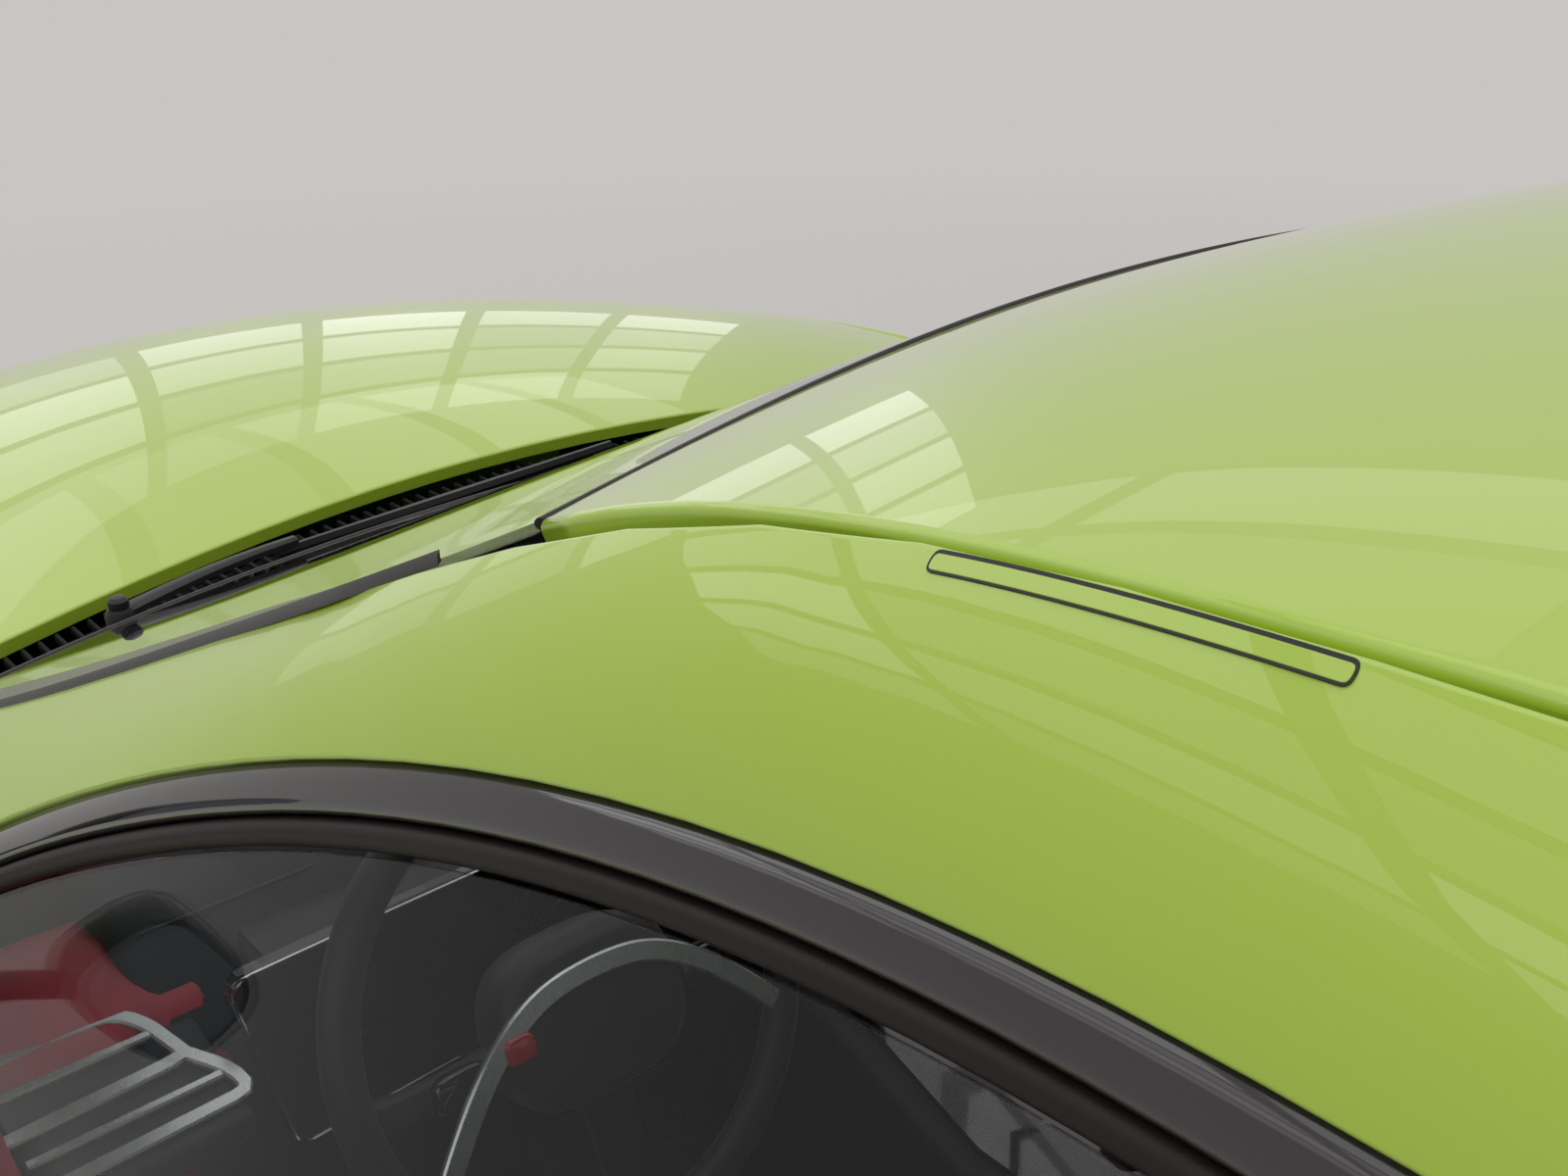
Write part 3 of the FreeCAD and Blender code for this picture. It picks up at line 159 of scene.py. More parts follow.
def monotone(points, q):
    """Monotone curve through columns of (place, value) at places q, row by row."""
    px = np.stack([p[0] for p in points], -1)
    py = np.stack([p[1] for p in points], -1)
    h = np.diff(px, axis=-1)
    d = np.diff(py, axis=-1) / h
    m = np.zeros_like(py)
    w1 = 2 * h[:, 1:] + h[:, :-1]
    w2 = h[:, 1:] + 2 * h[:, :-1]
    same = d[:, 1:] * d[:, :-1] > 0
    safe = np.where(same, d[:, 1:] * d[:, :-1], 1.0)
    m[:, 1:-1] = np.where(same, (w1 + w2) * safe / (w1 * d[:, 1:] + w2 * d[:, :-1] + 1e-12 * (~same)), 0)
    m[:, 0], m[:, -1] = d[:, 0], d[:, -1]
    k = np.clip((q[:, None] > px).sum(-1) - 1, 0, px.shape[1] - 2)
    r = np.arange(len(q))
    w = h[r, k]
    t = (q - px[r, k]) / w
    c = np.clip(t, 0, 1)
    value = cubic(c, py[r, k], py[r, k + 1], w * m[r, k], w * m[r, k + 1])
    return value + (t - c) * w * np.where(t < 0, m[r, k], m[r, k + 1])


def flowing(values, q):
    """Smooth curve through evenly numbered columns of values at places q."""
    py = np.stack([np.broadcast_to(v, q.shape) for v in values], -1)
    n = py.shape[1]
    m = np.zeros_like(py)
    m[:, 1:-1] = (py[:, 2:] - py[:, :-2]) / 2
    m[:, 0], m[:, -1] = py[:, 1] - py[:, 0], py[:, -1] - py[:, -2]
    k = np.clip(np.floor(q).astype(int), 0, n - 2)
    r = np.arange(len(q))
    return cubic(q - k, py[r, k], py[r, k + 1], m[r, k], m[r, k + 1])


LINES = [(through(SIDE, i, 0), through(SIDE, i, 1)) for i in range(1, 7)]
TOPS = [(through(UPPER, i, 0), through(UPPER, i, 1)) for i in (1, 2)]
GLASS_BULGE, RAIL_BULGE = 5.0, 9.0


def side_y(x, z):
    """Half width of the body at x and z."""
    x, z = np.asarray(x, float), np.asarray(z, float)
    low = monotone([(zf(x), yf(x)) for yf, zf in LINES], z)
    by, bz = LINES[-1][0](x), LINES[-1][1](x)
    wy, wz = TOPS[0][0](x), TOPS[0][1](x)
    ry, rz = TOPS[1][0](x), TOPS[1][1](x)
    t = (z - bz) / np.maximum(wz - bz, 1)
    u = (z - wz) / np.maximum(rz - wz, 1)
    c, e = np.clip(t, 0, 1), np.clip(u, 0, 1)
    glass = by + (wy - by) * t + GLASS_BULGE * 4 * c * (1 - c)
    rail = wy + (ry - wy) * u + RAIL_BULGE * 4 * e * (1 - e)
    return np.where(z < bz, low, np.where(z < wz, glass, rail))


def crown_fn(rows):
    """Height of a crowned panel over a place in plan."""
    fy, fz, fm = (through(rows, i) for i in (1, 2, 3))

    def at(x, y):
        ys, zs, ms = fy(x), fz(x), fm(x)
        h = np.maximum(ms - zs, 1)
        radius = (ys ** 2 + h ** 2) / (2 * h)
        return ms - radius + np.sqrt(np.maximum(radius ** 2 - np.minimum(np.abs(y), 0.98 * radius) ** 2, 1))
    return at


screen_z, roof_z, back_z, hood_z, deck_z = map(crown_fn, (WINDSCREEN, ROOF, REAR_WINDOW, HOOD, BOOT_DECK))


def plan_x(edge, y, move=0.0):
    """Place along the car of a curved plan edge."""
    x, side, middle = edge
    return middle + move - (middle - x) * (np.asarray(y, float) / side) ** 2


def side_map(inset=0.0, sign=1):
    """Body side over x and z, at a depth below the surface."""
    return lambda u, v: np.stack([u, sign * (side_y(u, v) - inset), v], -1)


def crown_map(fn, drop=0.0):
    """Crowned panel over x and y, at a depth below the surface."""
    return lambda u, v: np.stack([u, v, fn(u, v) - drop], -1)


def end_map(levels, push=0.0):
    """Tail surface over y and z, moved outwards by push."""
    fy, fe, fm = (through(levels, i) for i in (1, 2, 3))
    return lambda u, v: np.stack([fm(v) + (fe(v) - fm(v)) * (u / fy(v)) ** 2 - push, u, v], -1)


LONG = 240.0
BOW = 8 * LONG


def bow(levels, joint, push=0.0):
    """Bumper surface: u runs from the left joint round to the right one, BOW long, v is the height."""
    fy, fc, fm = (through(levels, i) for i in (1, 2, 3))
    sign = 1 if levels[0][3] > 0 else -1

    def at(u, v):
        u, v = np.asarray(u, float) / LONG, np.asarray(v, float)
        y, c, m = fy(v), fc(v), fm(v)
        px = [joint + 0 * v, joint + (c - joint) * 0.5, c, m - sign * 0.25 * np.abs(m - c), m]
        py = [y, 0.95 * y, 0.7 * y, 0.35 * y, 0 * v]
        px += px[3::-1]
        py += [-q for q in py[3::-1]]
        x, yy = flowing(px, u), flowing(py, u)
        tx, ty = flowing(px, u + 0.01) - x, flowing(py, u + 0.01) - yy
        size = np.hypot(tx, ty) + 1e-9
        return np.stack([x + push * (-ty / size) * sign, yy + push * (tx / size) * sign, v], -1)
    return at


# Outlines.
def rounded(points, radius):
    """Closed outline with its corners rounded, by one radius or one for each corner."""
    out = []
    count = len(points)
    radii = radius if isinstance(radius, (list, tuple)) else [radius] * count
    for i in range(count):
        a, b, c = (np.array(points[j % count], float) for j in (i - 1, i, i + 1))
        d1, d2 = a - b, c - b
        l1, l2 = np.linalg.norm(d1), np.linalg.norm(d2)
        turn = math.acos(np.clip(d1 @ d2 / (l1 * l2), -1, 1))
        if turn > math.radians(172) or radii[i] <= 0:
            out.append(tuple(b))
            continue
        cut = min(radii[i] / math.tan(turn / 2), 0.45 * l1, 0.45 * l2)
        p0, p1 = b + d1 / l1 * cut, b + d2 / l2 * cut
        for t in (0, 0.25, 0.5, 0.75, 1):
            out.append(tuple((1 - t) ** 2 * p0 + 2 * t * (1 - t) * b + t * t * p1))
    return out


def area(loop):
    q = np.array(loop)
    return 0.5 * np.sum(q[:, 0] * np.roll(q[:, 1], -1) - np.roll(q[:, 0], -1) * q[:, 1])


def ccw(loop):
    return loop if area(loop) > 0 else loop[::-1]


def unit(vectors):
    return vectors / (np.linalg.norm(vectors, axis=1)[:, None] + 1e-12)


def moved_in(loop, by):
    """Outline moved inwards by a distance."""
    q = np.array(ccw(loop), float)
    d = unit(np.roll(q, -1, 0) - q)
    n = np.stack([-d[:, 1], d[:, 0]], 1)
    m = n + np.roll(n, 1, 0)
    m /= np.maximum((m * n).sum(1), 0.35)[:, None]
    return [tuple(p) for p in q + m * by]


def dense(loop, step):
    """Outline with long edges divided."""
    out = []
    for i, p in enumerate(loop):
        q = loop[(i + 1) % len(loop)]
        k = max(1, int(math.hypot(q[0] - p[0], q[1] - p[1]) / step))
        out += [(p[0] + (q[0] - p[0]) * j / k, p[1] + (q[1] - p[1]) * j / k) for j in range(k)]
    return out


def inside(points, loop):
    """Which points lie in a closed outline."""
    q = np.array(loop)
    x, y = points[:, 0][:, None], points[:, 1][:, None]
    x0, y0 = q[:, 0][None], q[:, 1][None]
    x1, y1 = np.roll(q[:, 0], -1)[None], np.roll(q[:, 1], -1)[None]
    cross = (y0 > y) != (y1 > y)
    at = (x1 - x0) * (y - y0) / np.where(y1 == y0, 1e-12, y1 - y0) + x0
    return (cross & (x < at)).sum(1) % 2 == 1


def between(points, loops):
    """Which points lie in the first outline and in none of its holes."""
    keep = inside(points, loops[0])
    for hole in loops[1:]:
        keep &= ~inside(points, hole)
    return keep


def turns(n):
    """Angles that divide a full turn."""
    return np.linspace(0, 2 * math.pi, n + 1)[:-1]


def squircle(n, power):
    """Points round a rounded square of half width 1."""
    return [tuple(math.copysign(abs(q) ** power, q) for q in (math.cos(a), math.sin(a))) for a in turns(n)]


# Meshes.
def finished(obj, material, body, nodes=()):
    """Material, moving body and the nodes of the source that a piece stands for."""
    obj.data.materials.append(material)
    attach(obj, body)
    if nodes:
        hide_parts(*nodes)
    return obj


def placed(name, data):
    obj = bpy.data.objects.new(name, data)
    bpy.context.scene.collection.objects.link(obj)
    return obj


NORMALS = {}


def mesh_from(name, points, faces, normals=None):
    """Smooth-shaded mesh from points in millimetres, with its own normals where given."""
    mesh = bpy.data.meshes.new(name)
    mesh.from_pydata([tuple(p) for p in np.asarray(points, float) / 1000.0], [], faces)
    mesh.update()
    mesh.polygons.foreach_set("use_smooth", [True] * len(mesh.polygons))
    if normals is not None:
        NORMALS[name] = np.asarray(normals)
        mesh.normals_split_custom_set_from_vertices([tuple(n) for n in normals])
    return placed(name, mesh)


def woven(rows, k, wrap=False, ring=True):
    """Quads between rows of k points; wrap joins the last row to the first, ring closes each row."""
    return [(i * k + a, i * k + (a + 1) % k, (i + 1) % rows * k + (a + 1) % k, (i + 1) % rows * k + a)
            for i in range(rows if wrap else rows - 1) for a in range(k if ring else k - 1)]


def panel(name, f, outline, holes=(), step=30.0, depth=18.0, r=2.5, flip=False):
    """Smooth sheet over an outline, edges turned in by r, with an inner face. Lengths in millimetres."""
    loops = [dense(loop, 0.6 * step) for loop in [outline, *holes]]
    edge_at = np.array([p for loop in loops for p in loop], float)
    edges, start = [], 0
    for loop in loops:
        n = len(loop)
        edges += [(start + i, start + (i + 1) % n) for i in range(n)]
        start += n
    lo, hi = edge_at.min(0), edge_at.max(0)
    spread = (np.arange(low + 0.5 * step, high, step) for low, high in zip(lo, hi))
    grid = np.stack(np.meshgrid(*spread), -1).reshape(-1, 2)
    keep = between(grid, loops)
    for i in range(0, len(grid), 500):
        near = np.sqrt(((grid[i:i + 500, None] - edge_at[None]) ** 2).sum(-1).min(1))
        keep[i:i + 500] &= near > 0.45 * step
    flat = np.concatenate([edge_at, grid[keep]])
    found = delaunay_2d_cdt([Vector(p) for p in flat], edges, [], 0, 1e-6)
    uv = np.array([tuple(p) for p in found[0]], float)
    tris = np.array([t for t in found[2] if len(t) == 3])
    tris = tris[between(uv[tris].mean(1), loops)]
    new_index = {old: k for k, olds in enumerate(found[3]) for old in olds}
    u, v = uv.T
    p = f(u, v)
    nrm = unit(np.cross(f(u + 0.5, v) - f(u - 0.5, v), f(u, v + 0.5) - f(u, v - 0.5)))
    if flip:
        nrm = -nrm
    made = np.cross(p[tris[:, 1]] - p[tris[:, 0]], p[tris[:, 2]] - p[tris[:, 0]])
    wrong = (made * nrm[tris[:, 0]]).sum(1) < 0
    tris[wrong] = tris[wrong][:, ::-1]
    count = len(p)
    points, normals = [p, p - nrm * depth], [nrm, -nrm]
    faces = [tuple(int(i) for i in t) for t in tris]
    faces += [(a[2] + count, a[1] + count, a[0] + count) for a in faces]
    count *= 2
    start = 0
    for loop in loops:
        n = len(loop)
        ids = [new_index[start + i] for i in range(n)]
        start += n
        q, m, at = p[ids], nrm[ids], uv[ids]
        b = unit(np.cross(np.roll(q, -1, 0) - np.roll(q, 1, 0), m))
        along = np.roll(at, -1, 0) - np.roll(at, 1, 0)
        way = np.sign(area(loop)) * (1 if loop is loops[0] else -1)
        away = unit(np.stack([along[:, 1], -along[:, 0]], 1) * way)
        probe = f(at[:, 0] + away[:, 0] * 0.5, at[:, 1] + away[:, 1] * 0.5) - q
        if ((probe * b).sum(1) > 0).mean() < 0.5:
            b = -b
        rings = []
        for deg in (0, 30, 60, 90) if r > 0 else (0,):
            w = math.radians(deg)
            out, up = math.sin(w), math.cos(w)
            rings.append((q + r * (b * out - m * (1 - up)), m * up + b * out))
        rings += [(q + r * b - m * (depth - 1), b), (q + (r - 1) * b - m * depth, -m), (q - m * depth, -m)]
        wall = [tuple(count + i for i in quad) for quad in woven(len(rings), n)]
        for ring_points, ring_normals in rings:
            points.append(ring_points)
            normals.append(ring_normals)
        count += n * len(rings)
        made = np.cross(np.roll(rings[0][0], -1, 0) - rings[0][0], rings[1][0] - rings[0][0])
        if (made * (rings[0][1] + b)).sum() < 0:
            wall = [quad[::-1] for quad in wall]
        faces += wall
    return mesh_from(name, np.concatenate(points), faces, np.concatenate(normals))


def smoothed(obj, angle=40, work=None):
    """Outward faces, shaded smooth over edges below the angle, after an optional edit of the mesh."""
    bm = bmesh.new()
    bm.from_mesh(obj.data)
    if work:
        work(bm)
    bmesh.ops.recalc_face_normals(bm, faces=bm.faces)
    for face in bm.faces:
        face.smooth = True
    for edge in bm.edges:
        if len(edge.link_faces) == 2:
            edge.smooth = edge.calc_face_angle() < math.radians(angle)
    bm.to_mesh(obj.data)
    bm.free()
    return obj


def weld(bm):
    bmesh.ops.remove_doubles(bm, verts=bm.verts, dist=1e-5)


def caps(rows, k):
    """End faces of stacked rings."""
    return [tuple(range(k))[::-1], tuple((rows - 1) * k + a for a in range(k))]


def sweep(name, path, profile, ups=UP, closed=False):
    """Profile (sideways, up) in millimetres carried along a path; ups is one up direction or one a point."""
    path = np.asarray(path, float)
    tang = unit(np.roll(path, -1, 0) - np.roll(path, 1, 0) if closed else np.gradient(path, axis=0))
    side = unit(np.cross(tang, np.asarray(ups, float)))
    up = np.cross(side, tang)
    prof = np.array(profile, float)
    k, n = len(prof), len(path)
    points = path[:, None] + side[:, None] * prof[None, :, :1] + up[:, None] * prof[None, :, 1:]
    faces = woven(n, k, wrap=closed) + ([] if closed else caps(n, k))
    return smoothed(mesh_from(name, points.reshape(-1, 3), faces))


def oval(w, h, n=12):
    return [(w * math.cos(2 * math.pi * i / n), h * math.sin(2 * math.pi * i / n)) for i in range(n)]


def bevelled(name, corners, rings, radius=4.0, segments=2):
    """Solid from stacked closed rings of points; edges sharper than corners, in degrees, are rounded."""
    k = len(rings[0])

    def rounding(bm):
        bmesh.ops.recalc_face_normals(bm, faces=bm.faces)
        sharp = [e for e in bm.edges if len(e.link_faces) == 2 and e.calc_face_angle() > math.radians(corners)]
        bmesh.ops.bevel(bm, geom=sharp, offset=radius / 1000, offset_type="OFFSET", segments=segments,
                        profile=0.5, affect="EDGES", clamp_overlap=True)
    points = np.concatenate([np.asarray(r, float) for r in rings])
    obj = mesh_from(name, points, caps(len(rings), k) + woven(len(rings), k))
    return smoothed(obj, 38, rounding if radius > 0 else None)


def brick(name, lo, hi, radius=4.0, segments=2):
    """Box between two corners with rounded edges."""
    (x0, y0, z0), (x1, y1, z1) = lo, hi
    return bevelled(name, 30, [[(x0, y0, z), (x1, y0, z), (x1, y1, z), (x0, y1, z)] for z in (z0, z1)], radius,
                    segments)


def extruded(name, outline, start, end, radius, segments):
    """Outline in x and z carried along y, edges rounded."""
    return bevelled(name, 30, [[(x, y, z) for x, z in outline] for y in (start, end)], radius, segments)


def spun(name, outline, centre, axis=UP, n=32, closed=False):
    """Lathe piece about any axis: outline in radius and height, closed or from axis to axis."""
    a = unit(np.array([axis], float))[0]
    u = unit(np.cross([a], UP if abs(a[2]) < 0.9 else (1.0, 0, 0)))[0]
    v = np.cross(a, u)
    points = []
    for i in range(n):
        t = 2 * math.pi * i / n
        ray = u * math.cos(t) + v * math.sin(t)
        points += [np.array(centre, float) + ray * r + a * h for r, h in outline]
    obj = mesh_from(name, points, woven(n, len(outline), wrap=True, ring=closed))
    return smoothed(obj, 30, None if closed else weld)


def merged(objs, name):
    """Several pieces of one material made into one mesh."""
    bm = bmesh.new()
    for o in objs:
        bm.from_mesh(o.data)
    mesh = bpy.data.meshes.new(name)
    bm.to_mesh(mesh)
    bm.free()
    for o in objs:
        old = o.data
        bpy.data.objects.remove(o)
        bpy.data.meshes.remove(old)
    return placed(name, mesh)


def mirror_copy(obj, name):
    """Right-hand twin across the middle plane."""
    if obj.name in NORMALS:
        flip = np.array([1.0, -1.0, 1.0])
        points = np.array([v.co[:] for v in obj.data.vertices]) * flip * 1000
        faces = [tuple(poly.vertices)[::-1] for poly in obj.data.polygons]
        return mesh_from(name, points, faces, NORMALS[obj.name] * flip)
    bm = bmesh.new()
    bm.from_mesh(obj.data)
    for v in bm.verts:
        v.co.y = -v.co.y
    bmesh.ops.reverse_faces(bm, faces=bm.faces)
    mesh = bpy.data.meshes.new(name)
    bm.to_mesh(mesh)
    bm.free()
    return placed(name, mesh)


# Materials: each with its own grain, sheen or variation from nodes.
def fed(nt, one, sockets):
    """Each named socket of a node gets a plain value, or a link from the output given."""
    for key, value in sockets.items():
        if isinstance(value, bpy.types.NodeSocket):
            nt.links.new(value, one.inputs[key])
        else:
            one.inputs[key].default_value = value
    return one


def node(nt, kind, sockets):
    return fed(nt, nt.nodes.new(kind), sockets)


def math_node(nt, operation, a, b):
    one = node(nt, "ShaderNodeMath", {0: a, 1: b})
    one.operation = operation
    return one


def surface(name, color, rough, metal=0.0, coat=0.0, coat_rough=0.05, grain=0.0, grain_scale=400.0,
            mottle=0.08, mottle_scale=6.0, rough_spread=0.06, sheen=0.0, cells=False, alpha=1.0, glow=0.0,
            spec=0.5):
    """Cloudy colour and roughness, and a raised grain of noise or of cells."""
    mat = bpy.data.materials.new(name)
    mat.use_nodes = True
    nt = mat.node_tree
    bsdf = nt.nodes["Principled BSDF"]
    place = nt.nodes.new("ShaderNodeTexCoord").outputs["Object"]
    clouds = node(nt, "ShaderNodeTexNoise", {"Scale": mottle_scale, "Detail": 5, "Vector": place})
    cloud = clouds.outputs["Fac"]
    ramp = nt.nodes.new("ShaderNodeMix")
    ramp.data_type = "RGBA"
    fed(nt, ramp, {0: cloud, 6: (*[c * (1 - mottle) for c in color], 1),
                   7: (*[min(1, c * (1 + mottle)) for c in color], 1)})
    spread = node(nt, "ShaderNodeMapRange", {"Value": cloud, "To Min": max(0.0, rough - rough_spread),
                                             "To Max": min(1.0, rough + rough_spread)})
    fed(nt, bsdf, {"Base Color": ramp.outputs[2], "Roughness": spread.outputs["Result"], "Metallic": metal,
                   "IOR": 1.5, "Specular IOR Level": spec, "Coat Weight": coat, "Coat Roughness": coat_rough,
                   "Sheen Weight": sheen, "Alpha": alpha})
    if glow:
        fed(nt, bsdf, {"Emission Color": (0.5, 0.0, 0.0, 1), "Emission Strength": glow})
    if grain > 0:
        fine = {"Scale": grain_scale, "Vector": place}
        if cells:
            height = node(nt, "ShaderNodeTexVoronoi", fine).outputs["Distance"]
        else:
            height = node(nt, "ShaderNodeTexNoise", {**fine, "Detail": 3}).outputs["Fac"]
        bump = node(nt, "ShaderNodeBump", {"Strength": grain, "Distance": 0.0006, "Height": height})
        fed(nt, bsdf, {"Normal": bump.outputs["Normal"]})
    return mat


ACID_GREEN, BUMPER_GREEN = (0.35, 0.50, 0.030), (0.345, 0.495, 0.030)
PAINT = surface("acid_green_paint", ACID_GREEN, 0.32, coat=1.0, coat_rough=0.015, mottle=0.02, mottle_scale=900,
                rough_spread=0.05)
BUMPER_PAINT = surface("acid_green_bumper", BUMPER_GREEN, 0.35, coat=1.0, coat_rough=0.03, mottle=0.02,
                       mottle_scale=900)
MIRROR_PAINT = surface("acid_green_mirror", ACID_GREEN, 0.32, coat=1.0, coat_rough=0.02, mottle=0.02,
                       mottle_scale=900)
GLOSS_BLACK = surface("gloss_black", (0.016, 0.012, 0.015), 0.08, coat=0.8, coat_rough=0.02, mottle=0.1,
                      mottle_scale=30, rough_spread=0.02)
RUBBER = surface("seal_rubber", (0.016, 0.010, 0.010), 0.46, grain=0.2, grain_scale=900, rough_spread=0.1,
                 spec=0.22)
MOULDING = surface("screen_moulding", (0.060, 0.056, 0.054), 0.36, grain=0.1, grain_scale=1600)
SATIN = surface("satin_black", (0.016, 0.016, 0.018), 0.42, grain=0.15, grain_scale=1600, rough_spread=0.08,
                spec=0.35)
COWL_BLACK = surface("cowl_black", (0.008, 0.009, 0.009), 0.62, grain=0.3, grain_scale=900, spec=0.12)
TEXTURED = surface("textured_black", (0.022, 0.022, 0.023), 0.62, grain=0.6, grain_scale=1500)
FELT = surface("arch_felt", (0.022, 0.022, 0.022), 0.95, grain=1.0, grain_scale=700, sheen=0.3)
UNDER = surface("underbody_coat", (0.045, 0.045, 0.045), 0.7, grain=0.8, grain_scale=350)
CAST = surface("cast_metal", (0.34, 0.34, 0.35), 0.5, metal=0.9, grain=0.7, grain_scale=500, mottle=0.2)
STEEL = surface("exhaust_steel", (0.46, 0.44, 0.42), 0.28, metal=1.0, mottle=0.25, mottle_scale=9, grain=0.1)
AXLE = surface("axle_metal", (0.11, 0.11, 0.115), 0.55, metal=0.7, grain=0.7, grain_scale=500, mottle=0.3)
SOFT = surface("dash_soft", (0.016, 0.016, 0.018), 0.62, grain=0.07, grain_scale=1100, cells=True, spec=0.3)
LEATHER = surface("black_leather", (0.020, 0.019, 0.019), 0.48, grain=0.12, grain_scale=900, cells=True,
                  sheen=0.1, spec=0.4)
RED_LEATHER = surface("crimson_leather", (0.50, 0.008, 0.028), 0.42, grain=0.12, grain_scale=900, cells=True,
                      mottle=0.12, coat=0.2, coat_rough=0.3)
SILVER = surface("pale_satin_metal", (0.60, 0.66, 0.66), 0.28, metal=0.85, mottle=0.05, mottle_scale=60,
                 rough_spread=0.05, grain=0.05)
CARPET = surface("carpet", (0.025, 0.025, 0.027), 1.0, grain=1.0, grain_scale=1200, sheen=0.5, mottle=0.3,
                 mottle_scale=90)
TYRE_RUBBER = surface("tyre_rubber", (0.018, 0.018, 0.018), 0.72, grain=0.5, grain_scale=700, mottle=0.25,
                      mottle_scale=12)
RIM = surface("rim_metal", (0.055, 0.055, 0.060), 0.30, metal=0.8, coat=0.6, coat_rough=0.1, grain=0.1,
              grain_scale=1500)
DISC = surface("disc_iron", (0.30, 0.29, 0.28), 0.33, metal=1.0, mottle=0.15, mottle_scale=40, grain=0.2)
CALIPER = surface("caliper_red", (0.36, 0.010, 0.010), 0.30, coat=0.8, mottle=0.05)
RED_LENS = surface("lamp_red", (0.42, 0.006, 0.008), 0.06, coat=1.0, coat_rough=0.01, mottle=0.05, glow=0.12)
LAMP_INNER = surface("lamp_inner", (0.05, 0.05, 0.055), 0.25, metal=0.6, mottle=0.1)
LAMP_LENS = surface("lamp_clear", (0.80, 0.82, 0.85), 0.03, coat=1.0, mottle=0.02, alpha=0.22)
LED = surface("lamp_led", (0.75, 0.77, 0.80), 0.25, mottle=0.03, coat=0.8)
RED_BUTTON = surface("red_button", (0.45, 0.004, 0.012), 0.22, coat=0.9, mottle=0.05, mottle_scale=200)
DISPLAY = surface("display_glass", (0.006, 0.006, 0.008), 0.05, coat=1.0, coat_rough=0.01, mottle=0.2)
MIRROR_GLASS = surface("mirror_glass", (0.30, 0.32, 0.34), 0.02, metal=1.0, mottle=0.02, rough_spread=0.01)
HEADLINER = surface("headliner", (0.03, 0.03, 0.032), 0.95, grain=0.8, grain_scale=1400, sheen=0.4)
CHROME = surface("chrome_edge", (0.62, 0.63, 0.64), 0.12, metal=1.0, mottle=0.05)


def glass(name, tint, alpha):
    """Thin tinted pane: clear by alpha so that light reaches the cabin."""
    mat = surface(name, tint, 0.01, mottle=0.06, mottle_scale=3, rough_spread=0.004, coat=1.0, coat_rough=0.0,
                  alpha=alpha)
    nt = mat.node_tree
    facing = node(nt, "ShaderNodeLayerWeight", {"Blend": 0.5}).outputs["Facing"]
    steep = math_node(nt, "POWER", facing, 5.0)
    cover = node(nt, "ShaderNodeMapRange", {"Value": steep.outputs["Value"], "To Min": alpha})
    fed(nt, nt.nodes["Principled BSDF"], {"Alpha": cover.outputs["Result"]})
    return mat


SIDE_GLASS = glass("side_glass", (0.012, 0.016, 0.018), 0.16)
SCREEN_GLASS = glass("screen_glass", (0.016, 0.026, 0.018), 0.18)

# Body sides, doors and fenders.
GAP = 2.2
SILL, BELT, ROOF_SIDE = LINES[0][1], LINES[5][1], TOPS[1][1]


def arch_points(cx, cz, foot=164):
    """Wheel opening as points from the rear foot over the top to the front foot."""
    low = math.asin((foot - cz) / ARCH)
    return [(cx + ARCH * math.cos(a), cz + ARCH * math.sin(a)) for a in np.linspace(math.pi - low, low, 41)]


def curve(fn, x0, x1, n, rise=0.0):
    return [(float(x), float(fn(x)) + rise) for x in np.linspace(x0, x1, n)]


def pair(left, material, body, source):
    """Finish a left-hand piece and its twin, with left turned to right in every name."""
    twin = mirror_copy(left, left.name.replace("left", "right"))
    for piece, side in ((left, "left"), (twin, "right")):
        finished(piece, material, body.replace("left", side), [source.replace("left", side)])


window_top = through(WINDOW[12::-1], 1)
WINDOW_LINE = rounded(curve(window_top, 722, -1180, 64) + WINDOW[13:],
                      [0] * 64 + [14] + [0] * (len(WINDOW) - 14))
side_line = ([(-1997, 176)] + arch_points(REAR_AXLE, REAR_Z) + curve(SILL, -990, 931, 20)
             + [(931, 233), (847, 233), (-464, 233), (-480, 500), (-500, 800), (-506, 945), (-620, 950),
                (-950, 962), (-1165, 985)]
             + curve(window_top, -1180, 600, 44) + [(722, 912), (931, 912)]
             + curve(ROOF_SIDE, 931, -2288, 46) + [(-2288, 790), (-1997, 790)])
frame_left = panel("side_frame_left_skin", side_map(), moved_in(rounded(side_line, 5), GAP + 0.4), step=34,
                   depth=20, r=2.2, flip=True)
pair(frame_left, PAINT, "body", "side_frame_left")

door_line = rounded([(840, 241)] + curve(BELT, 840, 840, 1, -3) + curve(BELT, 800, -480, 26, -3)
                    + curve(BELT, -498, -498, 1, -3) + [(-494, 800), (-474, 500), (-458, 241)],
                    [22, 12] + [0] * 26 + [8, 0, 0, 22])
CUP = rounded([(-348, 762), (-262, 762), (-262, 804), (-348, 804)], 18)
door_left = panel("door_left_skin", side_map(), moved_in(door_line, GAP), holes=[CUP], depth=45, flip=True)
pair(door_left, PAINT, "door_left", "door_left_shell")

fender_line = ([(847, 240), (932, 240), (932, 162)] + arch_points(FRONT_AXLE, FRONT_Z)
               + [(2076, 176), (2076, 806)] + curve(BELT, 2070, 935, 30, -2) + [(847, 906)])
fender_left = panel("fender_left_skin", side_map(), moved_in(rounded(fender_line, 5), GAP), flip=True)
pair(fender_left, PAINT, "body", "front_fenders")


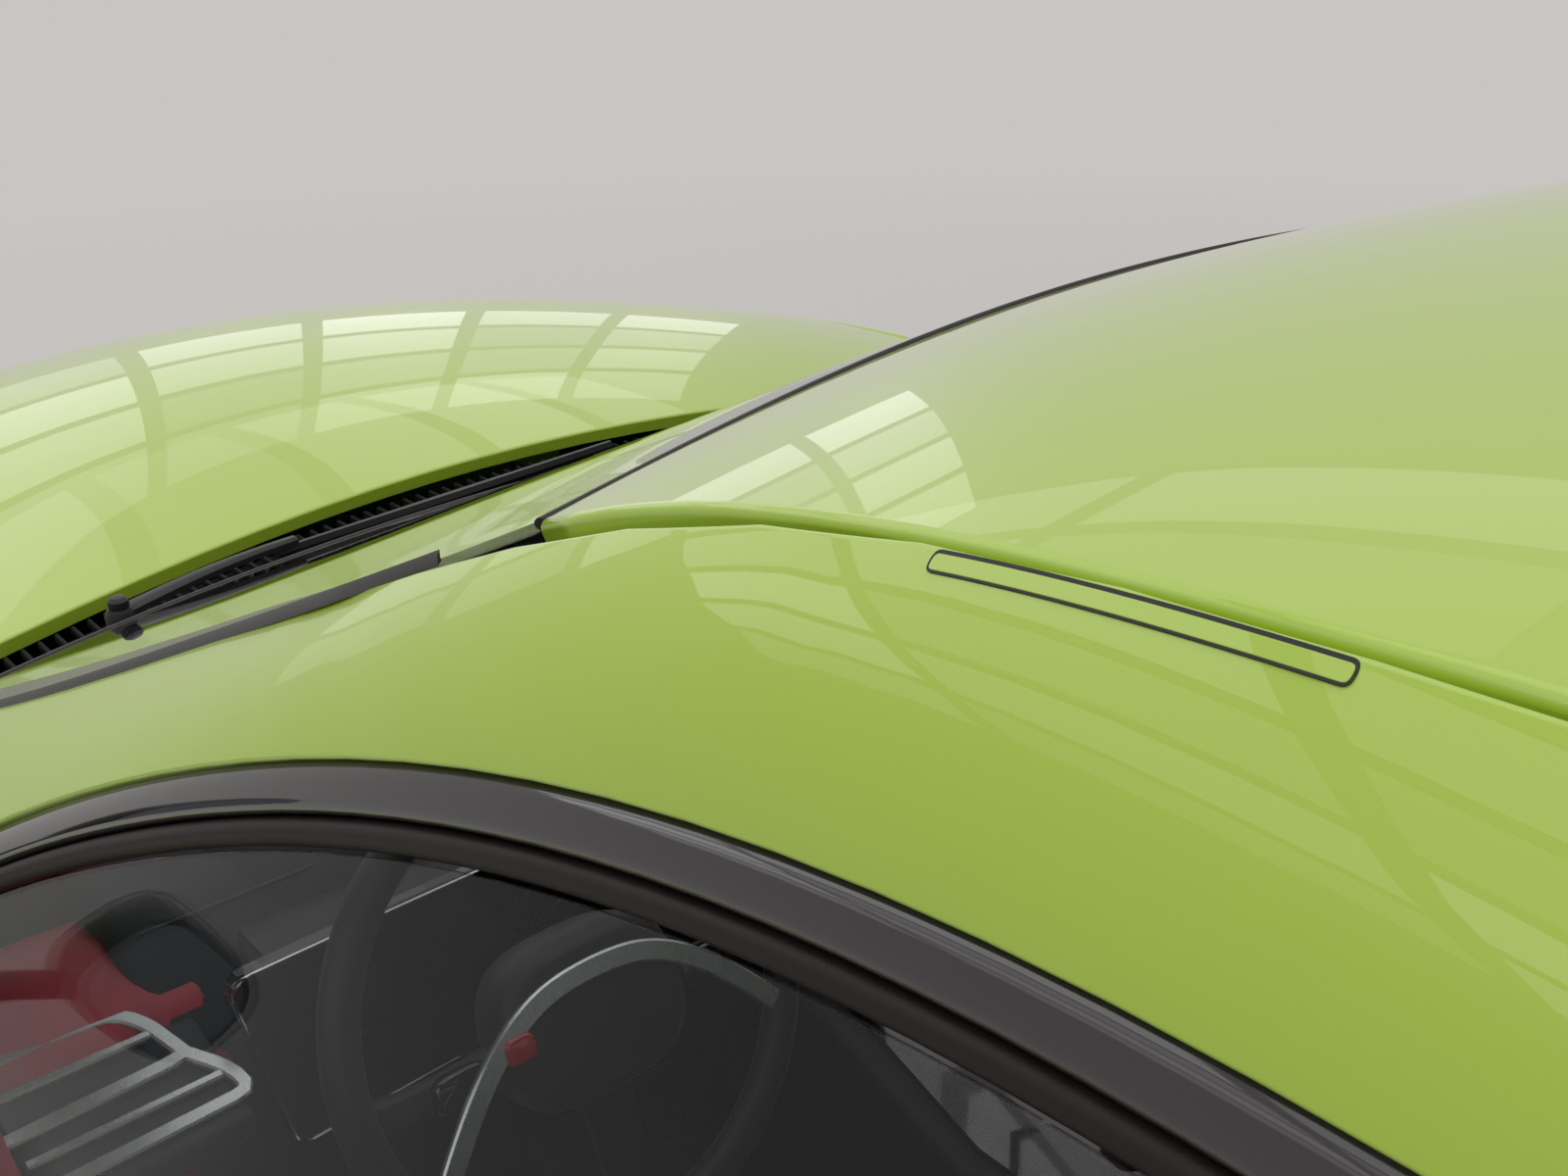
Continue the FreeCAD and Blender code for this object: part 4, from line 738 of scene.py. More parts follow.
# Roof, hood and boot lid.
def crown_outline(rows, front, rear, side_gap, front_move, rear_move, n=24):
    """Plan outline of a crowned panel between two curved edges."""
    fy = through(rows, 1)
    points = []
    for edge, move, way in ((front, front_move, 1), (rear, rear_move, -1)):
        y = edge[1]
        for _ in range(6):
            y = float(fy(plan_x(edge, y, move))) - side_gap
        points.append([(float(plan_x(edge, q, move)), float(q)) for q in np.linspace(way * y, -way * y, n)])
    x_front, x_rear = points[0][0][0], points[1][-1][0]
    side = [(float(x), float(fy(x)) - side_gap) for x in np.linspace(x_rear, x_front, n)[1:-1]]
    return points[0] + [(x, -y) for x, y in side[::-1]] + points[1] + side


for name, rows, height, edges, gap, move, body, source in (
        ("roof_skin", ROOF, roof_z, (HEADER, ROOF_REAR), 4.5, -4.5, "body", "roof_panel"),
        ("hood_skin", HOOD, hood_z, (HOOD_FRONT, HOOD_REAR), 3, -3, "hood", "hood"),
        ("boot_deck_skin", BOOT_DECK, deck_z, (BACK_FOOT, LIP), 3, -9, "boot_lid", "boot_lid")):
    skin = panel(name, crown_map(height), crown_outline(rows, *edges, gap, move, gap), step=34, depth=16, r=gap)
    finished(skin, PAINT, body, [source])
SCREW_Y, SCREW_RADIUS = (-150, 150), 2.9
lid_line = rounded([(-470, 806), (470, 806), (500, 940), (585, 1074), (-585, 1074), (-500, 940)],
                   [20, 20, 60, 8, 8, 60])
plate_holes = [[(y + dy, 860 + dz) for dy, dz in oval(SCREW_RADIUS, SCREW_RADIUS)] for y in SCREW_Y]
lid = panel("boot_face_skin", end_map(LID_LEVELS), moved_in(lid_line, 3), holes=plate_holes, step=34, depth=22,
            r=3, flip=True)
finished(lid, PAINT, "boot_lid", ["boot_lid"])

# Tail panel beside the lid, with the lamp openings.
tail_line = rounded([(482, 794), (716, 794), (708, 880), (668, 960), (633, 1015), (606, 1060), (580, 1066),
                     (510, 940)], [12, 6, 0, 0, 0, 6, 0, 40])
LAMP_HOLE = rounded([(500, 850), (696, 866), (680, 940), (530, 935)], 18)
tail_half = panel("tail_left_skin", end_map(TAIL_LEVELS), moved_in(tail_line, 3),
                  holes=[moved_in(LAMP_HOLE, -4)], step=26, depth=20, flip=True)
pair(tail_half, PAINT, "body", "tail_panel")


# Bumpers over length along the bow and height.
def bow_u(mapping, y, z):
    """Length along the bow where it passes y at height z."""
    us = np.linspace(0, BOW, 1601)
    ys = mapping(us, np.full(us.shape, float(z)))[:, 1]
    return float(np.interp(-y, -ys, us))


def on_bow(mapping, points):
    """Outline of (y, z) points put over length along the bow."""
    return [(bow_u(mapping, y, z), z) for y, z in points]


def bow_hole(mapping, points, radius):
    return ccw(rounded(on_bow(mapping, points), radius))


def other_side(loop):
    return ccw([(BOW - u, z) for u, z in loop])


FRONT_JOINT, REAR_JOINT = 2080, -2000
front_bow, rear_bow = bow(FRONT_LEVELS, FRONT_JOINT), bow(REAR_LEVELS, REAR_JOINT)


def hood_edge(u):
    """Height of the hood over the bumper's upper edge."""
    x, y, _ = front_bow(np.array([u]), np.array([752.0])).T
    return float(hood_z(x, y)[0])


front_top = [(u, min(hood_edge(u) - 8, 806)) for u in np.linspace(BOW - 6, 6, 60)]
front_line = [(6, 176), (0.7 * LONG, 168), (BOW - 0.7 * LONG, 168), (BOW - 6, 176)] + front_top
MOUTH = [(-330, 520), (-380, 600), (-300, 700), (300, 700), (380, 600), (330, 520)]
LOW_INTAKE = [(-560, 230), (-480, 440), (480, 440), (560, 230)]
SIDE_INTAKE = [(640, 260), (620, 430), (740, 430), (750, 300)]
lamp_corners = on_bow(front_bow, [(430, 640), (460, 735)]) + [(14, 728), (14, 652)]
lamp_left = ccw(rounded(lamp_corners, [26, 26, 10, 10]))
lamp_right = other_side(lamp_left)
side_left = bow_hole(front_bow, SIDE_INTAKE, 26)
side_right = other_side(side_left)
screws = [ccw(on_bow(front_bow, [(y + dy, 480 + dz) for dy, dz in oval(SCREW_RADIUS, SCREW_RADIUS)]))
          for y in SCREW_Y]
front_holes = [bow_hole(front_bow, MOUTH, 40), bow_hole(front_bow, LOW_INTAKE, 40), side_left, side_right,
               lamp_left, lamp_right]
front_skin = panel("front_bumper_skin", front_bow, moved_in(rounded(front_line, 3), GAP),
                   holes=[moved_in(h, -3) for h in front_holes] + screws, step=28, depth=16)
finished(front_skin, BUMPER_PAINT, "body", ["front_bumper"])
mouth_edge = on_bow(rear_bow, [(374, 204), (352, 266), (-352, 266), (-374, 204)])
rear_line = [(6, 204)] + mouth_edge + [(BOW - 6, 204), (BOW - 6, 783), (6, 783)]
SLOT = [(390, 244), (620, 244), (620, 340), (602, 356), (408, 356), (390, 340)]
slot_left = bow_hole(rear_bow, SLOT, 14)
slots = [moved_in(h, -3) for h in (slot_left, other_side(slot_left))]
rear_skin = panel("rear_bumper_skin", rear_bow, moved_in(rounded(rear_line, 8), GAP), holes=slots, step=28,
                  depth=16, flip=True)
finished(rear_skin, BUMPER_PAINT, "body", ["rear_bumper"])

# Windscreen and rear window, each with a printed border behind the glass.
for name, rows, height, front, rear, source in (
        ("windscreen", WINDSCREEN, screen_z, SCREEN_FOOT, HEADER, "windscreen"),
        ("rear_window", REAR_WINDOW, back_z, ROOF_REAR, BACK_FOOT, "rear_window")):
    edge = crown_outline(rows, front, rear, 1.5, -1.5, 1.5)
    pane = panel(name + "_pane", crown_map(height), edge, step=45, depth=4.5, r=1.0)
    finished(pane, SCREEN_GLASS, "body", [source])
    border = panel(name + "_border", crown_map(height, 5.2), edge, holes=[rounded(moved_in(edge, 42), 60)],
                   step=40, depth=0.6, r=0)
    finished(border, GLOSS_BLACK, "body")


# Side windows: bands, seals and panes.
def window_ring(inset_by, step=18.0):
    """Points round the side window, moved inwards, from the front corner over the top."""
    return dense(moved_in(WINDOW_LINE, inset_by), step)


def ordered(loop, keep):
    """The stretch of a closed loop that passes a test, as an open path."""
    n = len(loop)
    flags = [keep(p) for p in loop]
    start = next(i for i in range(n) if flags[i] and not flags[i - 1])
    path = []
    while flags[(start + len(path)) % n]:
        path.append(loop[(start + len(path)) % n])
    return path


def on_side(path, inset):
    """Points and outward directions on the left side at a depth below the surface."""
    u, v = np.array(path, float).T
    f = side_map(inset)
    p = f(u, v)
    n = unit(np.cross(f(u, v + 1) - p, f(u + 1, v) - p))
    return p, n * np.sign(n[:, 1])[:, None]


BAND = [(-12, -6), (12, -6), (12, 2.0), (11, 4.2), (8.5, 5.7), (4.5, 6.8), (0, 7.1), (-4.5, 6.8), (-8.5, 5.7),
        (-11, 4.2), (-12, 2.0)]
for side, sign in SIDES:
    for part, material, slot, inset, depth, profile, source in (
            ("trim", GLOSS_BLACK, "gloss_black", 13.0, 11, BAND, "window_trim"),
            ("seal", RUBBER, "seal_rubber", 31.6, 17, oval(6.8, 8.0, 14), "window_seals")):
        over = ordered(window_ring(inset), lambda p: p[1] > 992 + max(0, -p[0]) * 0.04 or p[0] < -503)
        p, n = (q * [1, sign, 1] for q in on_side(over, depth))
        finished(sweep("window_%s_%s" % (part, side), p, profile, n), material, "body", [source])

pane_top = ordered(window_ring(39.5, 30), lambda p: p[1] > 925 + max(0, -p[0]) * 0.03 and p[0] > -505)
if pane_top[0][0] < pane_top[-1][0]:
    pane_top = pane_top[::-1]
door_pane_line = pane_top + [(-505, 912), (-440, 905), (595, 885)]
quarter_line = sorted((p for p in window_ring(37.4, 30) if p[0] < -517),
                      key=lambda p: math.atan2(p[1] - 1080, p[0] + 800))
PILLAR_LINE = [(-519, 962), (-519, 1214), (-575, 1208), (-575, 962)]
SAIL_LINE = rounded([(712, 917), (612, 984), (566, 984), (618, 917)], 8)
for side, sign in SIDES:
    door = "door_" + side
    for name, inset, line, step, depth, r, material, body, slot, source in (
            ("door_pane_", 16, door_pane_line, 45, 4.5, 0.8, SIDE_GLASS, door, "side_glass", [door + "_glass"]),
            ("quarter_pane_", 16, quarter_line, 45, 4.5, 0.8, SIDE_GLASS, "body", "side_glass",
             ["quarter_glass"]),
            ("pillar_band_", 15.2, PILLAR_LINE, 30, 0.6, 0.3, GLOSS_BLACK, "body", "gloss_black", [])):
        sheet = panel(name + side, side_map(inset, sign), ccw(line), step=step, depth=depth, r=r, flip=sign > 0)
        finished(sheet, material, body, source)
    bx = np.linspace(700, -494, 60)
    bp = np.stack([bx, sign * (side_y(bx, BELT(bx) - 1) - 9), BELT(bx) + 0.5], -1)
    strip = sweep("belt_strip_" + side, bp, [(-7, -3), (7, -3), (7, 3), (4, 5.5), (-4, 5.5), (-7, 3)])
    finished(strip, SATIN, door)
    sail = panel("sail_" + side, side_map(5, sign), ccw(SAIL_LINE), step=25, depth=9, r=1.5, flip=sign > 0)
    finished(sail, GLOSS_BLACK, door)

# Roof joints: painted ditch strips, each with a dark rubber cord along its bottom as painted shade of the deep
# joint, seals, mouldings beside the windscreen.
roof_y, screen_y = through(ROOF, 1), through(WINDSCREEN, 1)
DITCH = [(-10, -4), (10, -4), (10, 1), (5, 1.8), (0, 2.0), (-5, 1.8), (-10, 1)]
MOULDING_WIDTH = ((212, 260, 330, 430, 560, 860), (2.0, 16.0, 34.0, 48.0, 56.0, 60.0))
LEANT = (0.3, 0, 1.0)
for side, sign in SIDES:
    jx = np.linspace(140, -915, 90)
    jy = sign * (roof_y(jx) + TOPS[1][0](jx)) / 2
    jz = np.minimum(roof_z(jx, roof_y(jx)), ROOF_SIDE(jx)) - 9.5
    ditch = sweep("roof_ditch_" + side, np.stack([jx, jy, jz], -1), DITCH)
    finished(ditch, PAINT, "body")
    # Dark rubber cord along the ditch's bottom: painted shade where the deep joint lies in shadow.
    shade_cord = sweep("roof_ditch_bead_" + side, np.stack([jx, jy, jz + 1.5], -1), oval(2.4, 2.2, 8))
    finished(shade_cord, RUBBER, "body")
    rows = []
    for x in np.linspace(860, 212, 70):
        w = np.interp(x, *MOULDING_WIDTH)
        y = float(screen_y(x))
        outer = y + min(10.0, 0.5 * w)
        ring = [(x, outer, float(screen_z(x, y)) + lift) for lift in (-3, 2)]
        for t in np.linspace(0, 1, 7):
            across = outer - 1.5 - (w - 2) * t
            ring.append((x, across, float(screen_z(x, min(across, y))) + 4.5 * (1 - 0.75 * t ** 2)))
        ring.append((x, outer - w, float(screen_z(x, outer - w)) - 1))
        rows.append(np.array(ring) * [1, sign, 1])
    finished(bevelled("screen_moulding_" + side, 80, rows, 0), MOULDING, "body")
for name, edge, reach, move, drop, w, h in (("header_seal", HEADER, 562, -1.0, 1.5, 3.4, 2.8),
                                            ("screen_foot_seal", SCREEN_FOOT, 716, 3.0, 3, 6, 4.5)):
    ys = np.linspace(-reach, reach, 90)
    xs = plan_x(edge, ys, move)
    seal = sweep(name, np.stack([xs, ys, screen_z(xs, ys) - drop], -1), oval(w, h, 10), LEANT)
    finished(seal, RUBBER, "body")

# Covers of the roof rack fixings: painted caps in a dark joint.
for side, sign in SIDES:
    for x0, x1 in ((-78, -212), (-638, -772)):
        xs = np.linspace(x0, x1, 12)
        high, low = (ROOF_SIDE(xs) * (1 - share) + TOPS[0][1](xs) * share for share in (0.025, 0.085))
        line = ccw(rounded(list(zip(xs, high)) + list(zip(xs[::-1], low[::-1])), 4))
        for name, inset, cut, depth, r, material, slot, source in (
                ("rack_joint_%s_%d", -0.15, 0, 1.0, 0.2, SATIN, "satin_black", []),
                ("rack_cap_%s_%d", -0.5, 0.9, 1.2, 0.3, PAINT, "body_paint", ["rack_covers"])):
            cover = panel(name % (side, x0), side_map(inset, sign), moved_in(line, cut), step=14, depth=depth,
                          r=r, flip=sign > 0)
            finished(cover, material, "body", source)

# Cowl with ribs.
COWL = [(848, 790, 903, 947), (1000, 790, 885, 938), (1130, 790, 876, 926)]
cowl_z = crown_fn(COWL)
ys = np.linspace(-705, 705, 40)
cowl_line = ([(float(plan_x(HOOD_REAR, y, -8)), float(y)) for y in ys]
             + [(float(plan_x(SCREEN_FOOT, y, -18)), float(y)) for y in ys[::-1]])
cowl = panel("cowl_skin", crown_map(cowl_z), ccw(cowl_line), depth=8, r=2)
ribs = []
for y in np.arange(-640, 641, 16):
    x0, x1 = float(plan_x(SCREEN_FOOT, y, 12)), float(plan_x(HOOD_REAR, y, -14))
    z0 = float(cowl_z(x0, y))
    if x1 - x0 > 12:
        ribs.append(brick("rib", (x0, y - 2, z0 - 2), (x1, y + 2, z0 + 6), 1.2, 1))
finished(cowl, COWL_BLACK, "body", ["cowl_panel"])
finished(merged(ribs, "cowl_ribs"), COWL_BLACK, "body")

# Wipers: arm, blade, boss and nut in one piece each.
ARM_SHAPE = ((-1, -4), (1, -4), (1, 1), (0.5, 3.5), (-0.5, 3.5), (-1, 1))
BLADE_SHAPE = ((-1, -2), (-0.2, -7), (0.2, -7), (1, -2), (0.6, 4), (-0.6, 4))
BOSS, NUT = [(0, 0), (13, 0), (13, 64), (10, 70), (0, 72)], [(0, 0), (9, 0), (9, 6), (6, 9), (0, 10)]
ARMS = [((967, 489), (1020, 300), (1016, 320), (1072, -110)),
        ((1010, -330), (985, -160), (972, 393), (984, -200))]


def beam(name, a, b, n, half_width, arc, shape):
    """Bar from a to b, with its half width given along it and its middle lifted."""
    a, b = np.array(a, float), np.array(b, float)
    d = (b - a) / np.linalg.norm(b - a)
    across = np.array([-d[1], d[0], 0])
    rows = []
    for s in np.linspace(0, 1, n):
        c = a + (b - a) * s + [0, 0, arc * math.sin(math.pi * s)]
        rows.append([c + across * half_width(s) * q + np.array([0, 0, h]) for q, h in shape])
    return bevelled(name, 60, rows, 0)


for i, (pivot, tip, end_a, end_b) in enumerate(ARMS):
    arm = beam("arm", (*pivot, 958), (*tip, 960), 9, lambda s: 10.5 - 5.0 * s, 4, ARM_SHAPE)
    blade = beam("blade", (*end_a, 953), (*end_b, 952), 13, lambda s: 5.0 - 1.5 * abs(2 * s - 1), 0,
                 BLADE_SHAPE)
    boss, nut = spun("boss", BOSS, (*pivot, 892)), spun("nut", NUT, (*pivot, 963))
    finished(merged([arm, blade, boss, nut], "wiper_%d" % i), SATIN, "body", ["wipers"])


# Helpers for hollow parts and for places on a surface.
def at_depth(make, u, v):
    """Single point and outward direction of a surface map."""
    u, v = np.array([float(u)]), np.array([float(v)])
    n = unit(np.cross(make(u + 1, v) - make(u - 1, v), make(u, v + 1) - make(u, v - 1)))
    return make(u, v)[0], n[0]


def collar(name, near, far, loop, wall=1.6):
    """Closed wall between two surfaces along an outline."""
    a, b = np.array(dense(loop, 12), float), np.array(moved_in(dense(loop, 12), wall), float)
    rings = [near(*a.T), far(*a.T), far(*b.T), near(*b.T)]
    return smoothed(mesh_from(name, np.concatenate(rings), woven(4, len(a), wrap=True)))


def dish(name, deep, loop, depth, rings=7):
    """Smooth hollow behind an outline; deep(u, v, d) gives the surface at a depth."""
    c = np.array(loop, float)
    mid, n = c.mean(0), len(c)
    points = []
    for k in range(rings + 1):
        t = 0.49 * math.pi * k / rings
        q = mid + (c - mid) * math.cos(t) ** 0.5
        points.append(deep(q[:, 0], q[:, 1], 2 + depth * math.sin(t)))
    faces = woven(rings + 1, n) + caps(rings + 1, n)[1:]
    return smoothed(mesh_from(name, np.concatenate(points), faces), 60)


# Wheels: tyre with ribs, grooves and shoulder blocks; rim with ten spokes; disc and caliper.
PITCHES = 64 if FINE else 32
GROOVES = (-0.60, -0.21, 0.21, 0.60)
RIM_STEPS = 128 if FINE else 64
BOLT = [(0, 0), (8.5, 0), (8.5, 6), (6, 8), (0, 8)]
VALVE = [(0, 0), (3.5, 0), (3.5, 22), (2.5, 24), (0, 24)]


def tyre_piece(name, place, radius, rim, width, sign):
    """Tyre section carried round the wheel; kind 1 is a groove floor, kind 2 a shoulder cut into blocks."""
    w = width / 2
    tread = w - 20
    flank = [(rim, w - 18), (rim + 5, w - 9), (rim + 12, w - 4.5), (rim + 18, w - 3.6), (rim + 24, w - 2.0),
             (0.5 * (rim + radius), w - 0.4), (radius - 34, w - 0.8), (radius - 30, w - 2.2),
             (radius - 20, w - 5), (radius - 9, w - 13)]
    edge = [(GROOVES[-1] * tread + 9, 0), (GROOVES[-1] * tread + 13, 2), (tread, 2)]
    rows = [(-v, kind) for v, kind in edge[::-1]]
    for c in GROOVES:
        rows += [(c * tread + v, kind) for v, kind in ((-5.2, 0), (-4.0, 1), (4.0, 1), (5.2, 0))]
    rows += edge
    lines = [(r, -v, 0) for r, v in flank]
    lines += [(radius - 0.4 - 3.2 * (v / tread) ** 2 - (7 if kind == 1 else 0), v, kind) for v, kind in rows]
    lines += [(r, v, 0) for r, v in flank[::-1]]
    points = []
    stops = ((0.0, False), (0.78, False), (0.82, True), (0.96, True))
    for p in range(PITCHES):
        for stop, cut in stops:
            for r, v, kind in lines:
                low = r - 5.5 if kind == 2 and cut else r
                a = 2 * math.pi * (p + stop + 0.35 * abs(v) / w) / PITCHES
                points.append((place[0] + low * math.sin(a), place[1] + sign * v, place[2] + low * math.cos(a)))
    faces = woven(PITCHES * len(stops), len(lines), wrap=True)
    return smoothed(mesh_from(name, points, faces), 32)


def rim_pieces(tag, place, rim, width, sign):
    """Barrel, spokes and hub in one piece; bolts and valve; brake disc."""
    w = width / 2
    axis = (0, sign, 0)
    barrel = [(rim + 4, w - 12), (rim + 4, w - 16), (rim - 2, w - 18), (rim - 14, w - 30), (rim - 22, 10),
              (rim - 12, -w + 24), (rim - 2, -w + 18), (rim + 4, -w + 16), (rim + 4, -w + 12),
              (rim - 5, -w + 10), (rim - 18, -w + 24), (rim - 28, 8), (rim - 22, w - 34), (rim - 12, w - 20),
              (rim - 5, w - 12)]
    hub = [(1, w - 66), (70, w - 66), (78, w - 50), (74, w - 38), (60, w - 34), (42, w - 33), (34, w - 29),
           (1, w - 28)]
    parts = [spun("barrel", barrel, place, axis, RIM_STEPS, True), spun("hub", hub, place, axis, 64, True)]
    for a in turns(10):
        out, across = np.array([math.sin(a), 0, math.cos(a)]), np.array([math.cos(a), 0, -math.sin(a)])
        rings = []
        for t in np.linspace(0, 1, 8):
            r = 58 + (rim - 14 - 58) * t
            half = 13.0 - 8.5 * math.sin(math.pi * min(1, t * 1.05)) ** 0.8 + 3.0 * t
            front = w - 40 + 25 * t ** 1.5
            back = front - 24 + 4 * t
            section = ((-1.15, back), (1.15, back), (1.0, front - 4), (0.72, front), (-0.72, front),
                       (-1.0, front - 4))
            rings.append([place + out * r + across * half * q + np.array([0, sign * h, 0]) for q, h in section])
        parts.append(bevelled("spoke", 70, rings, 1.2, 2))

    def spot(radius, a, out):
        return place[0] + radius * math.sin(a), place[1] + sign * out, place[2] + radius * math.cos(a)
    bolts = [spun("bolt", BOLT, spot(54, a + math.pi / 5, w - 37), axis, 12) for a in turns(5)]
    bolts.append(spun("valve", VALVE, spot(rim - 24, 0.31, w - 34), axis, 12))
    d = w - 118
    disc = [(80, d), (183, d), (185, d + 2), (185, d + 9), (178, d + 10), (178, d + 20), (185, d + 21),
            (185, d + 28), (183, d + 30), (80, d + 30), (76, d + 42), (72, d + 50), (50, d + 50), (50, d + 40),
            (68, d + 38)]
    return (merged(parts, "rim_" + tag), merged(bolts, "wheel_bolts_" + tag),
            spun("disc_" + tag, disc, place, axis, 96, True))


def caliper_piece(name, axle_x, axle_z, face_y, cheek, sign):
    """Caliper as a C round the disc, over a sector of 50 degrees."""
    profile = [(124, -33), (128, -36), (203, -36), (208.6, -30), (208.6, 45), (203, 51.6), (128, 51.6),
               (124, 48), (124, 38.5), (190, 38.5), (190, -8.5), (124, -8.5)]
    rings = []
    for a in np.radians(np.linspace(-25, 25, 13)):
        dx, dz = cheek * math.cos(a), math.sin(a)
        rings.append([(axle_x + r * dx, sign * (face_y + h), axle_z + r * dz) for r, h in profile])
    return bevelled(name, 60, rings, 1.5, 2)


WHEELS = [("front", FRONT_AXLE, 792, FRONT_Z, 244, 264, -1), ("rear", REAR_AXLE, 790, REAR_Z, 256, 284, 1)]
for end, axle_x, wheel_y, radius, rim, width, cheek in WHEELS:
    for side, sign in SIDES:
        tag = "%s_%s" % (end, side)
        body = "wheel_" + tag
        place = np.array([axle_x, sign * wheel_y, radius], float)
        tyre = tyre_piece("tyre_" + tag, place, radius, rim, width, sign)
        finished(tyre, TYRE_RUBBER, body, [body + "_tyre"])
        metal, bolts, disc = rim_pieces(tag, place, rim, width, sign)
        finished(metal, RIM, body, [body + "_rim"])
        finished(bolts, CHROME, body)
        finished(disc, DISC, body)
        caliper = caliper_piece("caliper_" + tag, axle_x, radius, wheel_y + width / 2 - 118, cheek, sign)
        finished(caliper, CALIPER, "knuckle_" + side if end == "front" else "body")

# Headlamps: clear cover over a dark housing with two projectors and a light strip.
near_bow, mid_bow, deep_bow = (bow(FRONT_LEVELS, FRONT_JOINT, push) for push in (-3, -24, -46))
PROJECTOR = [(0, 2), (33, 2), (33, 14), (36, 26), (33, 30), (30, 26), (26, 12), (0, 9)]
EYE = [(0, 10), (24, 10), (22, 16), (12, 20), (0, 21)]
strip_at = on_bow(mid_bow, ((470, 716), (445, 662), (470, 652), (620, 654), (760, 660)))
strip_u, strip_z = [u for u, _ in strip_at] + [50.0], [716, 664, 655, 657, 664, 668]
for side, loop in (("left", lamp_left), ("right", lamp_right)):
    lens = panel("headlamp_cover_" + side, front_bow, moved_in(loop, 0.6), step=22, depth=2.6, r=1.6)
    finished(lens, LAMP_LENS, "body", ["headlamps"])
    bowl = panel("headlamp_bowl_" + side, deep_bow, moved_in(loop, -1.0), step=22, depth=2.0, r=0.3)
    finished(bowl, LAMP_INNER, "body")
    wall = collar("headlamp_wall_" + side, near_bow, deep_bow, moved_in(loop, 1.0))
    finished(wall, GLOSS_BLACK, "body")
    start, way = (0, 1) if side == "left" else (BOW, -1)
    units, lights = [], []
    for y in (520, 660):
        p, n = at_depth(deep_bow, start + way * bow_u(deep_bow, y, 688), 688)
        units.append(spun("projector", PROJECTOR, p, n, 40))
        lights.append(spun("eye", EYE, p, n))
    finished(merged(units, "headlamp_units_" + side), LAMP_INNER, "body")
    fine = np.linspace(0, 5, 60)
    path = mid_bow(start + way * np.interp(fine, range(6), strip_u), np.interp(fine, range(6), strip_z))
    lights.append(sweep("strip", path, oval(3.2, 3.2, 10)))
    finished(merged(lights, "headlamp_lights_" + side), LED, "body")

# Tail lamps: red cover over a dark tray, with raised light bars.
for side, sign in SIDES:
    loop = ccw([(sign * y, z) for y, z in LAMP_HOLE])
    lens = panel("tail_lamp_" + side, end_map(TAIL_LEVELS, -1.5), moved_in(loop, -1.5), step=18, depth=8, r=2.0,
                 flip=True)
    finished(lens, RED_LENS, "body", ["tail_lamps"])
    tray = panel("tail_tray_" + side, end_map(TAIL_LEVELS, -26), moved_in(loop, -6), step=24, depth=2, r=0.3,
                 flip=True)
    finished(tray, SATIN, "body")
    bars = []
    for lift in (0.28, 0.72):
        ys = np.linspace(524, 676, 40)
        zs = (1 - lift) * (850 + (ys - 500) * 16 / 196) + lift * (935 + (ys - 530) * 5 / 150)
        bars.append(sweep("bar", end_map(TAIL_LEVELS, 0.5)(sign * ys, zs), oval(2.6, 5.5)))
    finished(merged(bars, "tail_light_bars_" + side), RED_LENS, "body")


# Grille bars, frames and intake meshes behind the front skin.
def row_reach(points, z):
    """Largest y of an outline at a height."""
    best = 0.0
    for (y0, z0), (y1, z1) in zip(points, points[1:] + points[:1]):
        if min(z0, z1) <= z <= max(z0, z1) and z0 != z1:
            best = max(best, abs(y0 + (y1 - y0) * (z - z0) / (z1 - z0)))
    return best


def level_bar(name, u0, u1, n, z, profile):
    """Level bar along the bow behind the front skin."""
    return sweep(name, back_bow(np.linspace(u0, u1, n), np.full(n, float(z))), profile)


back_bow = bow(FRONT_LEVELS, FRONT_JOINT, -20)
bars = []
for outline, heights, thick in ((MOUTH, range(532, 700, 21), 3.0), (LOW_INTAKE, range(244, 440, 24), 2.6)):
    for z in heights:
        u0, u1 = (bow_u(back_bow, way * (row_reach(outline, z) + 12), z) for way in (1, -1))
        bars.append(level_bar("bar", u0, u1, 48, z, oval(7, thick, 10)))
    low, high = outline[0][1], max(z for _, z in outline)
    for y in np.arange(-540, 541, 45):
        zs = [z for z in np.linspace(low - 6, high + 6, 24)
              if row_reach(outline, np.clip(z, low, high)) + 10 > abs(y)]
        if len(zs) >= 6:
            us = np.array([bow_u(back_bow, y, z) for z in zs])
            bars.append(sweep("post", back_bow(us, np.array(zs)), oval(2.2, 5, 8), (1.0, 0, 0)))
finished(merged(bars, "grille_bars"), GLOSS_BLACK, "body")
slats = []
for loop in (side_left, side_right):
    us = [u for u, _ in loop]
    slats += [level_bar("slat", min(us) - 4, max(us) + 4, 16, z, oval(8, 3, 10)) for z in range(284, 430, 24)]
    slats.append(panel("backing", bow(FRONT_LEVELS, FRONT_JOINT, -42), moved_in(loop, -10), step=24, depth=2,
                       r=0.3))
finished(merged(slats, "side_intake_slats"), SATIN, "body")
rims_of = []
for loop in front_holes[:4]:
    ring = np.array(dense(moved_in(loop, -1.0), 14))
    ups = np.stack([at_depth(front_bow, u, v)[1] for u, v in ring])
    path = bow(FRONT_LEVELS, FRONT_JOINT, -1.5)(*ring.T)
    rims_of.append(sweep("frame", path, oval(4.5, 3.2, 10), ups, closed=True))
finished(merged(rims_of, "grille_frames"), GLOSS_BLACK, "body")

